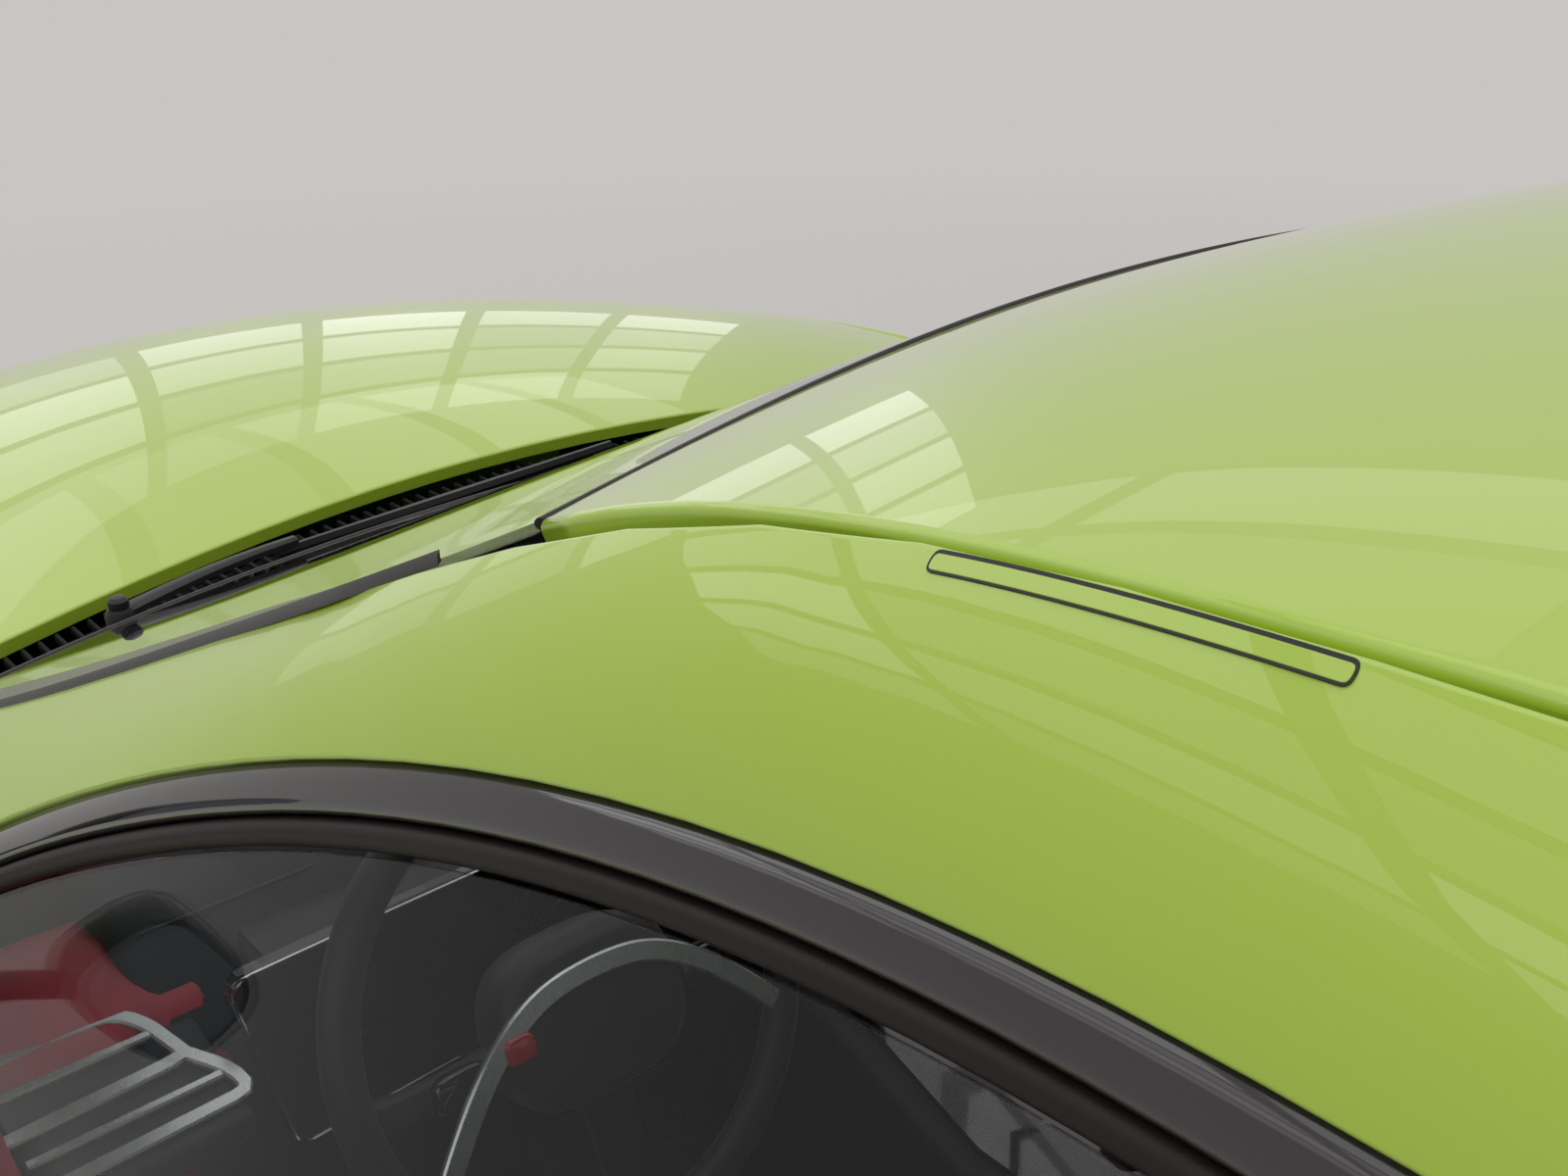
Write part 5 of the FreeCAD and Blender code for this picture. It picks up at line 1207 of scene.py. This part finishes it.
# Rear diffuser with fins, exhaust end rings.
rear_in = bow(REAR_LEVELS, REAR_JOINT, -14)
diffuser_line = ccw(on_bow(rear_in, ((372, 206), (350, 262), (-350, 262), (-372, 206))))
fins = [panel("diffuser_panel", rear_in, diffuser_line, step=24, depth=6, r=1.0, flip=True)]
for y in (-270, -135, 0, 135, 270):
    rings = []
    for z, reach in ((206, 26), (235, 16), (262, 4)):
        x = at_depth(rear_in, bow_u(rear_in, y, z), z)[0][0]
        rings.append([(x + 4, y - 3, z), (x + 4, y + 3, z), (x - reach, y + 2, z), (x - reach, y - 2, z)])
    fins.append(bevelled("fin", 40, rings, 1.0, 1))
finished(merged(fins, "diffuser"), TEXTURED, "body")
TIP = [(49.2, 0), (50.2, 6), (50.2, 96), (49.5, 99), (46, 100.2), (43, 98), (42.2, 90), (42.2, 60)]
tips = [spun("tip", TIP, (-2286, y, 300), (-1, 0, 0), 48) for y in (-560, -450, 450, 560)]
finished(merged(tips, "exhaust_tips"), CHROME, "body")

# Door handles with their recess. Door mirrors: shell, painted cap over its front, glass, arm.
HANDLE_Z = 783.0
MIRROR_AT, MIRROR_HALF = np.array([723.0, 951.0, 992.0]), np.array([55.0, 78.0, 56.0])
CAP_FROM_X, CAP_GROWTH = 735, (1.004, 1.012, 1.012)
ARM_LINE = [(722, 838, 872), (723, 862, 900), (724, 890, 930), (725, 925, 955)]


def smooth_path(points, n):
    """Places on a smooth curve through points."""
    at = np.linspace(0, len(points) - 1, n)
    return np.stack([spline(range(len(points)), column)(at) for column in np.array(points, float).T], -1)


def mirror_form(lat=24, lon=40):
    """Points and faces of a rounded box, flat behind and narrower to the front."""
    points = []
    for a in np.linspace(0, math.pi, lat + 1):
        for b in turns(lon):
            d = np.array([math.cos(a), math.sin(a) * math.cos(b), math.sin(a) * math.sin(b)])
            d /= (np.abs(d) ** 3.0).sum() ** (1 / 3.0)
            fade = 1 - 0.34 * max(0.0, d[0]) ** 1.6
            points.append(MIRROR_AT + MIRROR_HALF * [max(d[0], -0.80), d[1] * fade, d[2] * fade])
    return np.array(points), woven(lat + 1, lon)


def upright(x):
    """Upright plane across the car."""
    return lambda u, v: np.stack([np.full(u.shape, x), u, v], -1)


for side, sign in SIDES:
    door = "door_" + side
    cup = dish("handle_cup_" + side, lambda u, v, d: side_map(d, sign)(u, v), CUP, 16)
    finished(cup, PAINT, door)
    hx, hz = np.linspace(-207, -403, 40), np.full(40, HANDLE_Z)
    hy = side_y(hx, hz) + 11.5 * (1 - np.abs(np.linspace(-1, 1, 40)) ** 5) - 3
    grip = sweep("handle_" + side, np.stack([hx, sign * hy, hz], -1), oval(11.5, 5.5, 16), (0, 1.0, 0))
    finished(grip, PAINT, door)
    points, faces = mirror_form()
    flip = np.array([1, sign, 1])
    shell = smoothed(mesh_from("mirror_shell_" + side, points * flip, faces), 50, weld)
    finished(shell, GLOSS_BLACK, door, [door + "_mirror"])
    front = np.flatnonzero(points[:, 0] > CAP_FROM_X)
    number = {int(k): i for i, k in enumerate(front)}
    cap_faces = [tuple(number[k] for k in f) for f in faces if all(k in number for k in f)]
    cap_points = (MIRROR_AT + (points[front] - MIRROR_AT) * CAP_GROWTH) * flip
    finished(mesh_from("mirror_cap_" + side, cap_points, cap_faces), MIRROR_PAINT, door,
             [door + "_mirror"])
    pane = ccw([(951 + 66 * c, 992 + 46 * s) for c, s in squircle(48, 0.66)])
    for label, grow, x, material, slot in (("pane", 0.0, 676.6, MIRROR_GLASS, "side_glass"),
                                           ("edge", 5.0, 678.0, SATIN, "mirror_housing")):
        loop = ccw([(sign * y, z) for y, z in moved_in(pane, -grow)])
        disc = panel("mirror_%s_%s" % (label, side), upright(x), loop, step=20, depth=2.5, r=1.0, flip=True)
        finished(disc, material, door)
    arm = sweep("mirror_arm_" + side, smooth_path(ARM_LINE, 16) * flip, oval(9, 23, 20), (1.0, 0, 0))
    finished(arm, SATIN, door)

# Dashboard with its seam and the hood over the instruments.
DASH = [(560, 560), (700, 560), (885, 700), (885, 818), (840, 876), (640, 872), (560, 800), (545, 700)]
HOOD_RING = [(596, 838), (640, 878), (720, 896), (800, 884), (800, 850), (640, 838)]
dash = extruded("dashboard_pad", DASH, -638, 638, 16, 4)
finished(dash, SOFT, "body", ["dashboard"])
rows = [[(x, y, z - drop) for x, z in HOOD_RING]
        for y, drop in ((205, 26), (235, 8), (290, 0), (385, -3), (480, 0), (535, 8), (565, 26))]
finished(bevelled("instrument_hood", 50, rows, 7, 3), SOFT, "body")
seam = [(625.0, y, 862.5) for y in np.linspace(-620, 620, 60)]
finished(sweep("dash_seam", seam, oval(1.4, 1.4, 8)), LEATHER, "body")

# Crimson dash ends with their vents and bright surrounds.
END = [(566, 640), (548, 720), (556, 790), (592, 832), (650, 850), (712, 842), (752, 800), (756, 640)]
END_MID = np.array([655.0, 745.0])
VENT_TRAY = [(486, 768), (486, 786), (566, 812), (606, 824), (606, 780), (560, 740), (520, 740)]
VENT_BARS = [[(600, 742, 829), (598, 690, 829), (596, 652, 828), (580, 638, 822), (547, 626, 811)],
             [(572, 748, 819), (572, 640, 819)],
             [(541, 748, 809), (545, 640, 810), (547, 626, 811)],
             [(520, 740, 802), (522, 613, 802)],
             [(499, 730, 794), (503, 600, 795), (524, 607, 803), (547, 626, 811)]]
for side, sign in SIDES:
    rows = []
    for y, keep in ((586, 1.0), (700, 1.0), (732, 0.985), (750, 0.95), (762, 0.88)):
        ring = END_MID + (np.array(END, float) - END_MID) * keep
        rows.append([(x, sign * y, z) for x, z in ring])
    finished(bevelled("dash_end_" + side, 25, rows, 15, 4), RED_LEATHER, "body")
    rows = [[(x, sign * y, z) for x, z in VENT_TRAY] for y in (606, 746)]
    finished(bevelled("vent_housing_" + side, 40, rows, 5, 2), SATIN, "body")
    bars = []
    for line in VENT_BARS:
        bent = len(line) > 2
        pts = np.array(line, float) * [1, sign, 1]
        length = np.r_[0, np.cumsum(np.linalg.norm(np.diff(pts, axis=0), axis=1))]
        path = np.stack([np.interp(np.linspace(0, length[-1], 20), length, pts[:, k]) for k in range(3)], -1)
        if bent:
            path[1:-1] = (path[:-2] + 2 * path[1:-1] + path[2:]) / 4
        wide = 5.5 if bent else 3.5
        profile = [(-wide, -2), (wide, -2), (wide, 1.5), (wide - 1.5, 3), (1.5 - wide, 3), (-wide, 1.5)]
        bars.append(sweep("slat", path, profile, (-0.33, 0, 0.94)))
    finished(merged(bars, "vent_surround_" + side), SILVER, "body")

# Displays: curved black glass with backs, a bright edge round the driver's one, and the middle vents.
DISPLAY_LINE = rounded([(597, 862), (250, 862), (250, 712), (565, 706)], [14, 20, 20, 14])
CENTRE_LINE = rounded([(238, 838), (-108, 838), (-108, 706), (238, 706)], 16)


def display_map(u, v):
    return np.stack([537 - 8 * ((u - 250) / 350.0) ** 2, u, v], -1)


for name, line in (("display_glass", DISPLAY_LINE), ("display_centre", CENTRE_LINE)):
    pane = panel(name, display_map, ccw(line), step=24, depth=11, flip=True)
    finished(pane, DISPLAY, "body")
edge = sweep("display_edge", display_map(*np.array(dense(DISPLAY_LINE, 12)).T), oval(1.6, 2.2, 8), (-1.0, 0, 0),
             closed=True)
finished(edge, CHROME, "body")
backs = [brick("back", (546, 262, 716), (604, 560, 852)), brick("back", (546, -100, 712), (590, 230, 830))]
finished(merged(backs, "display_backs"), SATIN, "body")
vents = []
for y0, y1 in ((-300, -140), (-560, -400)):
    vents.append(brick("vent", (543, y0, 752), (552, y1, 800), 5))
    vents += [brick("fin", (538, y0 + 8, z), (546, y1 - 8, z + 2), 0.8, 1) for z in range(760, 798, 9)]
finished(merged(vents, "centre_vents"), GLOSS_BLACK, "body")

# Steering wheel, built in its own plane.
WHEEL_AT = np.array([430.0, 385.0, 800.0])
WHEEL_UP = np.array([0.4067, 0.0, 0.9135])
WHEEL_AXIS = np.array([0.9135, 0.0, -0.4067])
RING_RADIUS = 180


def on_wheel(left, rise, out):
    return WHEEL_AT + np.array([0, 1.0, 0]) * left + WHEEL_UP * rise - WHEEL_AXIS * out


def plane_pad(name, centre, half, levels, power=0.6, n=24, radius=1.2):
    """Rounded pad on the steering wheel: levels give distance out and share of the outline."""
    rows = [[on_wheel(centre[0] + half[0] * keep * c, centre[1] + half[1] * keep * s, out)
             for c, s in squircle(n, power)] for out, keep in levels]
    return bevelled(name, 35, rows, radius)


circle = [on_wheel(RING_RADIUS * math.cos(a), RING_RADIUS * math.sin(a), 0) for a in turns(120)]
boss_levels = ((-28, 0.80), (-18, 0.97), (8, 1.0), (20, 0.93), (26, 0.80))
parts = [sweep("ring", circle, oval(14.5, 13.5, 18), -WHEEL_AXIS, closed=True),
         plane_pad("boss", (0, -8), (78, 62), boss_levels, 0.7, 40, 3)]
for way in (1, -1):
    rows = []
    for r in np.linspace(60, 172, 8):
        w = 17 * (1 - 0.35 * math.sin(math.pi * (r - 60) / 112))
        rows.append([on_wheel(way * r, w * q - 16, h - 6) for q, h in ((-1, -8), (1, -8), (0.8, 8), (-0.8, 8))])
    parts.append(bevelled("spoke", 50, rows))
finished(merged(parts, "steering_wheel_grip"), LEATHER, "steering_wheel", ["steering_wheel"])
rows = []
for rise in np.linspace(-55, -174, 8):
    w = 20 + 5 * abs(rise + 115) / 60
    rows.append([on_wheel(w * q, rise, h - 4) for q, h in ((-1, -7), (1, -7), (0.8, 7), (-0.8, 7))])
column = spun("column", [(0, 0), (26, 0), (26, 140), (0, 140)], WHEEL_AT + WHEEL_AXIS * 18, WHEEL_AXIS)
low_spoke = merged([bevelled("low", 50, rows), column], "steering_wheel_low_spoke")
finished(low_spoke, SATIN, "steering_wheel")
BOW_HALF = [(140, -62), (120, -38), (90, -8), (55, 15), (20, 24)]
bow_line = smooth_path(BOW_HALF + [(-x, y) for x, y in BOW_HALF[::-1]], 60)
bow_bar = sweep("steering_wheel_bow", [on_wheel(a, b, 27) for a, b in bow_line],
                [(-8, -2.5), (8, -2.5), (8, 1.5), (6.5, 3), (-6.5, 3), (-8, 1.5)], -WHEEL_AXIS)
finished(bow_bar, SILVER, "steering_wheel")
pads = [plane_pad("pad", (way * 104, -18), (24, 14), ((0, 1.0), (8, 1.0), (11, 0.92))) for way in (1, -1)]
finished(merged(pads, "steering_wheel_pads"), GLOSS_BLACK, "steering_wheel")
button = plane_pad("steering_wheel_button", (68, -4), (12, 10), ((18, 1.0), (30, 1.0), (33, 0.86)))
finished(button, RED_BUTTON, "steering_wheel")

# Centre console with its tray, selector and arm lid.
CONSOLE = [(-380, 344), (698, 344), (698, 556), (560, 556), (545, 636), (300, 560), (-378, 560)]
TRAY_PLAN = ((20, -88), (300, -92), (500, -84), (500, 84), (300, 92), (20, 88))
GRIP_PLAN = ((185, -15), (215, -15), (215, 15), (185, 15))
finished(extruded("console_form", CONSOLE, -115, 115, 14, 4), SOFT, "body", ["centre_console"])
rows = [[(x, y, 560.5 + max(0, x - 296) * 0.3102 + lift) for x, y in TRAY_PLAN] for lift in (0, 5)]
finished(bevelled("console_plate", 30, rows, 2), GLOSS_BLACK, "body")
finished(brick("console_lid", (-372, -104, 560), (4, 104, 592), 14, 4), LEATHER, "body")
rows = [[(x + 0.35 * (z - 574), y * k, z) for x, y in GRIP_PLAN]
        for z, k in ((574, 0.8), (600, 0.9), (628, 1.0))]
lever = [brick("lever", (176, -20, 564), (224, 20, 576), 5), bevelled("grip", 30, rows, 6, 3)]
finished(merged(lever, "selector"), SATIN, "body")
dial = spun("console_dial", [(0, 0), (24, 0), (24, 10), (22, 13), (0, 13)], (96, 0, 565), UP, 48)
finished(dial, CHROME, "body")


# Seats and bench: cushions filled by a cloth simulation under light pressure.
def apply_all(obj):
    """Modifiers made part of the mesh."""
    bpy.context.view_layer.update()
    graph = bpy.context.evaluated_depsgraph_get()
    mesh = bpy.data.meshes.new_from_object(obj.evaluated_get(graph), depsgraph=graph)
    old = obj.data
    obj.modifiers.clear()
    obj.data = mesh
    bpy.data.meshes.remove(old)


def joined_form(parts, name, voxel):
    """One closed skin round several solids."""
    obj = merged(parts, name)
    skin = obj.modifiers.new("skin", "REMESH")
    skin.mode = "VOXEL"
    skin.voxel_size = voxel if FINE else 2 * voxel
    apply_all(obj)
    return obj


def filled(obj, reach, pressure=4.0):
    """Skin blown out by light pressure, each point moved by no more than reach in metres."""
    frames = 20 if FINE else 3
    start = np.array([v.co[:] for v in obj.data.vertices])
    cloth = obj.modifiers.new("fill", "CLOTH")
    s = cloth.settings
    s.quality = 5
    s.mass = 0.3
    s.tension_stiffness = s.compression_stiffness = 12
    s.shear_stiffness = 6
    s.bending_stiffness = 2.0
    s.use_pressure = True
    s.uniform_pressure_force = pressure
    s.effector_weights.gravity = 0.0
    cloth.collision_settings.use_collision = False
    cloth.point_cache.frame_start, cloth.point_cache.frame_end = 1, frames
    scene = bpy.context.scene
    for k in range(1, frames + 1):
        scene.frame_set(k)
    apply_all(obj)
    scene.frame_set(1)
    step = np.array([v.co[:] for v in obj.data.vertices]) - start
    step -= step.mean(0)
    size = np.linalg.norm(step, axis=1)[:, None]
    final = start + step * np.minimum(1.0, reach / np.maximum(size, 1e-9))
    for v, co in zip(obj.data.vertices, final):
        v.co = co
    if FINE:
        fine_skin = obj.modifiers.new("fine", "SUBSURF")
        fine_skin.levels = fine_skin.render_levels = 1
        apply_all(obj)
    return obj


def channel(rows, radius):
    return bevelled("channel", 25, rows, radius, 3)


def cushion_parts(y0):
    """Front seat cushion: cross channels between raised side rolls, nose rounded down."""
    parts = []
    for k in range(5):
        x0 = -100 + 98 * k
        ring = ((-140, 300), (140, 300), (140, 398 + 4 * k), (-140, 398 + 4 * k))
        parts.append(channel([[(x, y0 + y, z) for y, z in ring] for x in (x0, x0 + 102)], 16))
    for way in (1, -1):
        rows = [[(x, y0 + way * y, z)
                 for y, z in ((128, 280), (206, 280), (200, top), (150, top - 4), (128, 400))]
                for x, top in ((-100, 425), (100, 432), (300, 432), (418, 410))]
        parts.append(channel(rows, 20))
    return parts


def lean(z):
    """Backward lean of the front seat back."""
    return -0.235 * (z - 440)


def back_parts(y0):
    """Front seat back: cross channels between side rolls."""
    parts = []
    for k in range(6):
        z0, half = 430 + 90 * k, 132 - 3.5 * k
        ring = ((-236, -half), (-236, half), (-152, half), (-152, -half))
        parts.append(channel([[(x + lean(z), y0 + y, z) for x, y in ring] for z in (z0, z0 + 94)], 15))
    for way in (1, -1):
        ring = ((-240, 118), (-240, 200), (-150, 208), (-112, 182), (-150, 126))
        parts.append(channel([[(x + lean(z), y0 + way * y * k, z) for x, y in ring]
                              for z, k in ((415, 0.96), (560, 1.0), (740, 1.0), (880, 0.93), (975, 0.80))], 20))
    return parts


def head_parts(y0):
    """Head rest of a front seat."""
    ring = ((-392, -92), (-392, 92), (-340, 104), (-318, 86), (-318, -86), (-340, -104))
    rows = [[(x, y0 + y * k, z) for x, y in ring]
            for z, k in ((1008, 0.90), (1050, 1.0), (1110, 0.98), (1142, 0.86))]
    return [channel(rows, 22)]


def bench_parts():
    """Left half of the rear bench in lengthways channels."""
    squab = ((-664, 360), (-1140, 360), (-1140, 442), (-700, 470), (-664, 448))
    rest = ((-1060, 430), (-1160, 430), (-1170, 905), (-1082, 900), (-1050, 640))
    parts = []
    for ys in ((14, 98), (104, 196), (202, 294), (300, 392), (398, 500)):
        parts.append(channel([[(x, y, z) for x, z in squab] for y in ys], 16))
        parts.append(channel([[(x - 0.30 * (z - 470), y, z) for x, z in rest] for y in ys], 16))
    return parts


SEAT_Y = 385
CUSHIONS = [("seat_cushion", cushion_parts(SEAT_Y), 0.012, 0.026, 0.7, "front_seats"),
            ("seat_back", back_parts(SEAT_Y), 0.012, 0.026, 0.7, "front_seats"),
            ("seat_head", head_parts(SEAT_Y), 0.012, 0.016, 0.8, "front_seats"),
            ("bench", bench_parts(), 0.015, 0.022, 0.65, "rear_bench")]
for label, parts, voxel, reach, fill, source in CUSHIONS:
    left = filled(joined_form(parts, label + "_left", voxel), reach)
    for piece in (left, mirror_copy(left, label + "_right")):
        piece.data.polygons.foreach_set("use_smooth", [True] * len(piece.data.polygons))
        finished(piece, LEATHER, "body", [source])

# Seat frames: base, rails, hinge covers, back shell and head posts.
HINGE_COVER = [(-150, 300), (-262, 300), (-276, 430), (-240, 470), (-140, 380)]
POST = [(0, 0), (7, 0), (7, 90), (0, 90)]
for side, sign in SIDES:
    y0 = SEAT_Y * sign
    under = [brick("base", (-110, y0 - 190, 256), (400, y0 + 190, 306), 16, 3)]
    for way in (1, -1):
        under.append(brick("rail", (-140, y0 + way * 150 - 14, 190), (380, y0 + way * 150 + 14, 262), 5))
        under.append(extruded("cover", HINGE_COVER, *sorted((y0 + way * 186, y0 + way * 214)), 8, 3))
        under.append(spun("post", POST, (-356, y0 + way * 52, 950), (-0.08, 0, 1), 16))
    rows = [[(lean(z) - 252 - d, y0 + q * w, z) for d, q in ((0, -1), (0, 1), (16, 0.94), (16, -0.94))]
            for z, w in ((360, 176), (500, 186), (800, 182), (930, 164), (972, 138))]
    under.append(bevelled("shell", 40, rows, 6, 3))
    finished(merged(under, "seat_frame_" + side), SATIN, "body")

# Door linings with arm rest and pull.
LOW_LINING = rounded([(-398, 302), (688, 302), (688, 640), (560, 664), (100, 640), (-398, 655)], 24)
HIGH_LINING = rounded([(-398, 660), (100, 645), (560, 669), (688, 645), (688, 872), (-398, 872)], 18)
ARM_REST = [(-256, 562), (-200, 618), (300, 618), (328, 590), (300, 562)]
for side, sign in SIDES:
    door = "door_" + side
    for name, line, inset, depth, material, slot in (
            ("lining_low_", LOW_LINING, 88, 26, SOFT, "dash_soft"),
            ("lining_high_", HIGH_LINING, 90, 28, RED_LEATHER, "door_lining")):
        sheet = panel(name + side, side_map(inset, sign), ccw(line), step=40, depth=depth, r=6, flip=sign < 0)
        finished(sheet, material, door, [door + "_trim"])
    rows = [[(x, sign * y, z) for x, z in ARM_REST] for y in (762, 838)]
    finished(bevelled("arm_rest_" + side, 25, rows, 12, 3), LEATHER, door)
    t = np.linspace(0, 1, 24)
    pull = np.stack([-60 + 220 * t, sign * (800 - 14 * np.sin(math.pi * t)), 706 + 10 * t], -1)
    finished(sweep("door_pull_" + side, pull, oval(7, 5)), SILVER, door)

# Headliner and inner mirror.
liner = panel("headliner", crown_map(roof_z, 19), crown_outline(ROOF, HEADER, ROOF_REAR, 34, -30, 30), step=60,
              depth=3, r=0.5)
finished(liner, HEADLINER, "body")


def inner_ring(x, half_y, half_z, keep):
    return [(x, half_y * keep * c, 1165 + half_z * keep * s) for c, s in squircle(40, 0.6)]


rows = [inner_ring(x, 118, 28.5, k) for x, k in ((386, 1.0), (394, 1.0), (402, 0.86))]
shell = bevelled("shell", 30, rows, 2)
stem = spun("stem", [(0, 0), (8.5, 0), (8.5, 62), (0, 62)], (397, 0, 1158), (25.8, 0, 62.8), 20)
finished(merged([shell, stem], "inner_mirror_shell"), SATIN, "body", ["inner_mirror"])
rows = [inner_ring(x, 112, 24, k) for x, k in ((386.5, 1.0), (385.2, 0.98))]
finished(bevelled("inner_mirror_pane", 30, rows, 0.4, 1), MIRROR_GLASS, "body")

# Nodes of the source that stay as they are take their finish.
STAYS = {"floor_pan": CARPET, "bulkheads": SOFT, "engine_block": CAST, "undertray": UNDER, "wheel_arches": FELT,
         "knuckle_left": AXLE, "knuckle_right": AXLE, "front_suspension": AXLE, "rear_suspension": AXLE,
         "exhaust": STEEL, "grille": SATIN}
for name, finish in STAYS.items():
    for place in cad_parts[name].material_slots:
        place.material = finish

# Studio: pale floor, plain backdrop colour, soft lamps. Lengths from here on are metres.
FLOOR_HALF = 90
BACKDROP = (0.578, 0.558, 0.541, 1)
HALL_LIGHT = (0.80, 0.82, 0.84, 1)


def seen_rays(nt):
    """1 for rays that show the background: camera, glossy and transmission rays."""
    path = nt.nodes.new("ShaderNodeLightPath")
    total = path.outputs["Is Camera Ray"]
    for other in ("Is Glossy Ray", "Is Transmission Ray"):
        add = math_node(nt, "ADD", total, path.outputs[other])
        add.use_clamp = True
        total = add.outputs[0]
    return total


def floor_material():
    """Pale floor that turns into the backdrop colour away from the car."""
    mat = bpy.data.materials.new("floor_pale")
    mat.use_nodes = True
    nt = mat.node_tree
    bsdf = fed(nt, nt.nodes["Principled BSDF"], {"Base Color": BACKDROP, "Roughness": 0.9})
    glow = node(nt, "ShaderNodeEmission", {"Color": BACKDROP})
    size = node(nt, "ShaderNodeVectorMath", {0: nt.nodes.new("ShaderNodeNewGeometry").outputs["Position"]})
    size.operation = "LENGTH"
    far = node(nt, "ShaderNodeMapRange", {"Value": size.outputs["Value"], "From Min": 2.5, "From Max": 9.0,
                                          "To Min": 0.45, "To Max": 1.0})
    share = math_node(nt, "MULTIPLY", seen_rays(nt), far.outputs["Result"])
    mix = node(nt, "ShaderNodeMixShader", {0: share.outputs[0], 1: bsdf.outputs[0], 2: glow.outputs[0]})
    fed(nt, nt.nodes["Material Output"], {0: mix.outputs[0]})
    return mat


floor = bpy.data.meshes.new("floor")
corners = [(x * FLOOR_HALF, y * FLOOR_HALF, 0) for x, y in ((-1, -1), (1, -1), (1, 1), (-1, 1))]
floor.from_pydata(corners, [], [(0, 1, 2, 3)])
floor.materials.append(floor_material())
placed("floor", floor)
world = bpy.data.worlds.new("studio")
bpy.context.scene.world = world
world.use_nodes = True
wt = world.node_tree
wt.nodes.clear()
lit = node(wt, "ShaderNodeBackground", {"Color": HALL_LIGHT, "Strength": 0.70})
shown = node(wt, "ShaderNodeBackground", {"Color": BACKDROP})
both = node(wt, "ShaderNodeMixShader", {0: seen_rays(wt), 1: lit.outputs[0], 2: shown.outputs[0]})
node(wt, "ShaderNodeOutputWorld", {0: both.outputs[0]})


def lamp(name, place, target, size_x, size_y, power):
    data = bpy.data.lights.new(name, "AREA")
    data.shape = "RECTANGLE"
    data.size, data.size_y, data.energy = size_x, size_y, power
    obj = placed(name, data)
    obj.location = place
    obj.rotation_mode = "QUATERNION"
    obj.rotation_quaternion = (Vector(target) - Vector(place)).to_track_quat("-Z", "Y")


# A glazed hall: long panes overhead in rows, weaker far beyond the car, and a glazed front wall.
# Trees and roof beams outside make some panes darker than their neighbours.
SHADE = (1.0, 0.45, 0.85, 0.6, 1.15, 0.35, 0.9)
ROOF_PANE_Z, WALL_X = 4.4, 8.6
for i in range(4):
    for j in range(11):
        x, y = -3.0 + 3.1 * i, -4.6 + 1.02 * j
        far = min(1.0, max(0.0, (1.0 - y + 0.4 * x) / 5.0))
        lamp("pane_%d_%d" % (i, j), (x, y, ROOF_PANE_Z), (x, y, 0), 2.85, 0.84,
             (9.4 - 6.0 * far) * SHADE[(3 * i + 2 * j) % 7])
for i in range(7):
    for j in range(4):
        y, z = -6.4 + 1.3 * i, 2.0 + 1.05 * j
        lamp("wall_%d_%d" % (i, j), (WALL_X, y, z), (0, y, z), 1.14, 0.9, 2.3 * SHADE[(2 * i + 3 * j) % 7])

# Camera of the photograph: place in metres, angles in radians.
CAMERA_AT = (-0.3775, 0.8887, 1.5241)
YAW, PITCH, ROLL = 0.7156452, 0.4071860, -0.0115642
cam_data = bpy.data.cameras.new("photo_camera")
cam_data.lens, cam_data.sensor_width = 36.70, 36.0
cam_data.clip_start = 0.02
forward = Vector((math.cos(PITCH) * math.cos(YAW), -math.cos(PITCH) * math.sin(YAW), -math.sin(PITCH)))
level = forward.cross(Vector(UP)).normalized()
above = level.cross(forward)
right = math.cos(ROLL) * level + math.sin(ROLL) * above
up = -math.sin(ROLL) * level + math.cos(ROLL) * above
cam = placed("photo_camera", cam_data)
cam.matrix_world = Matrix.Translation(CAMERA_AT) @ Matrix((right, up, -forward)).transposed().to_4x4()
bpy.context.scene.camera = cam
bpy.context.scene.view_settings.view_transform = "Standard"
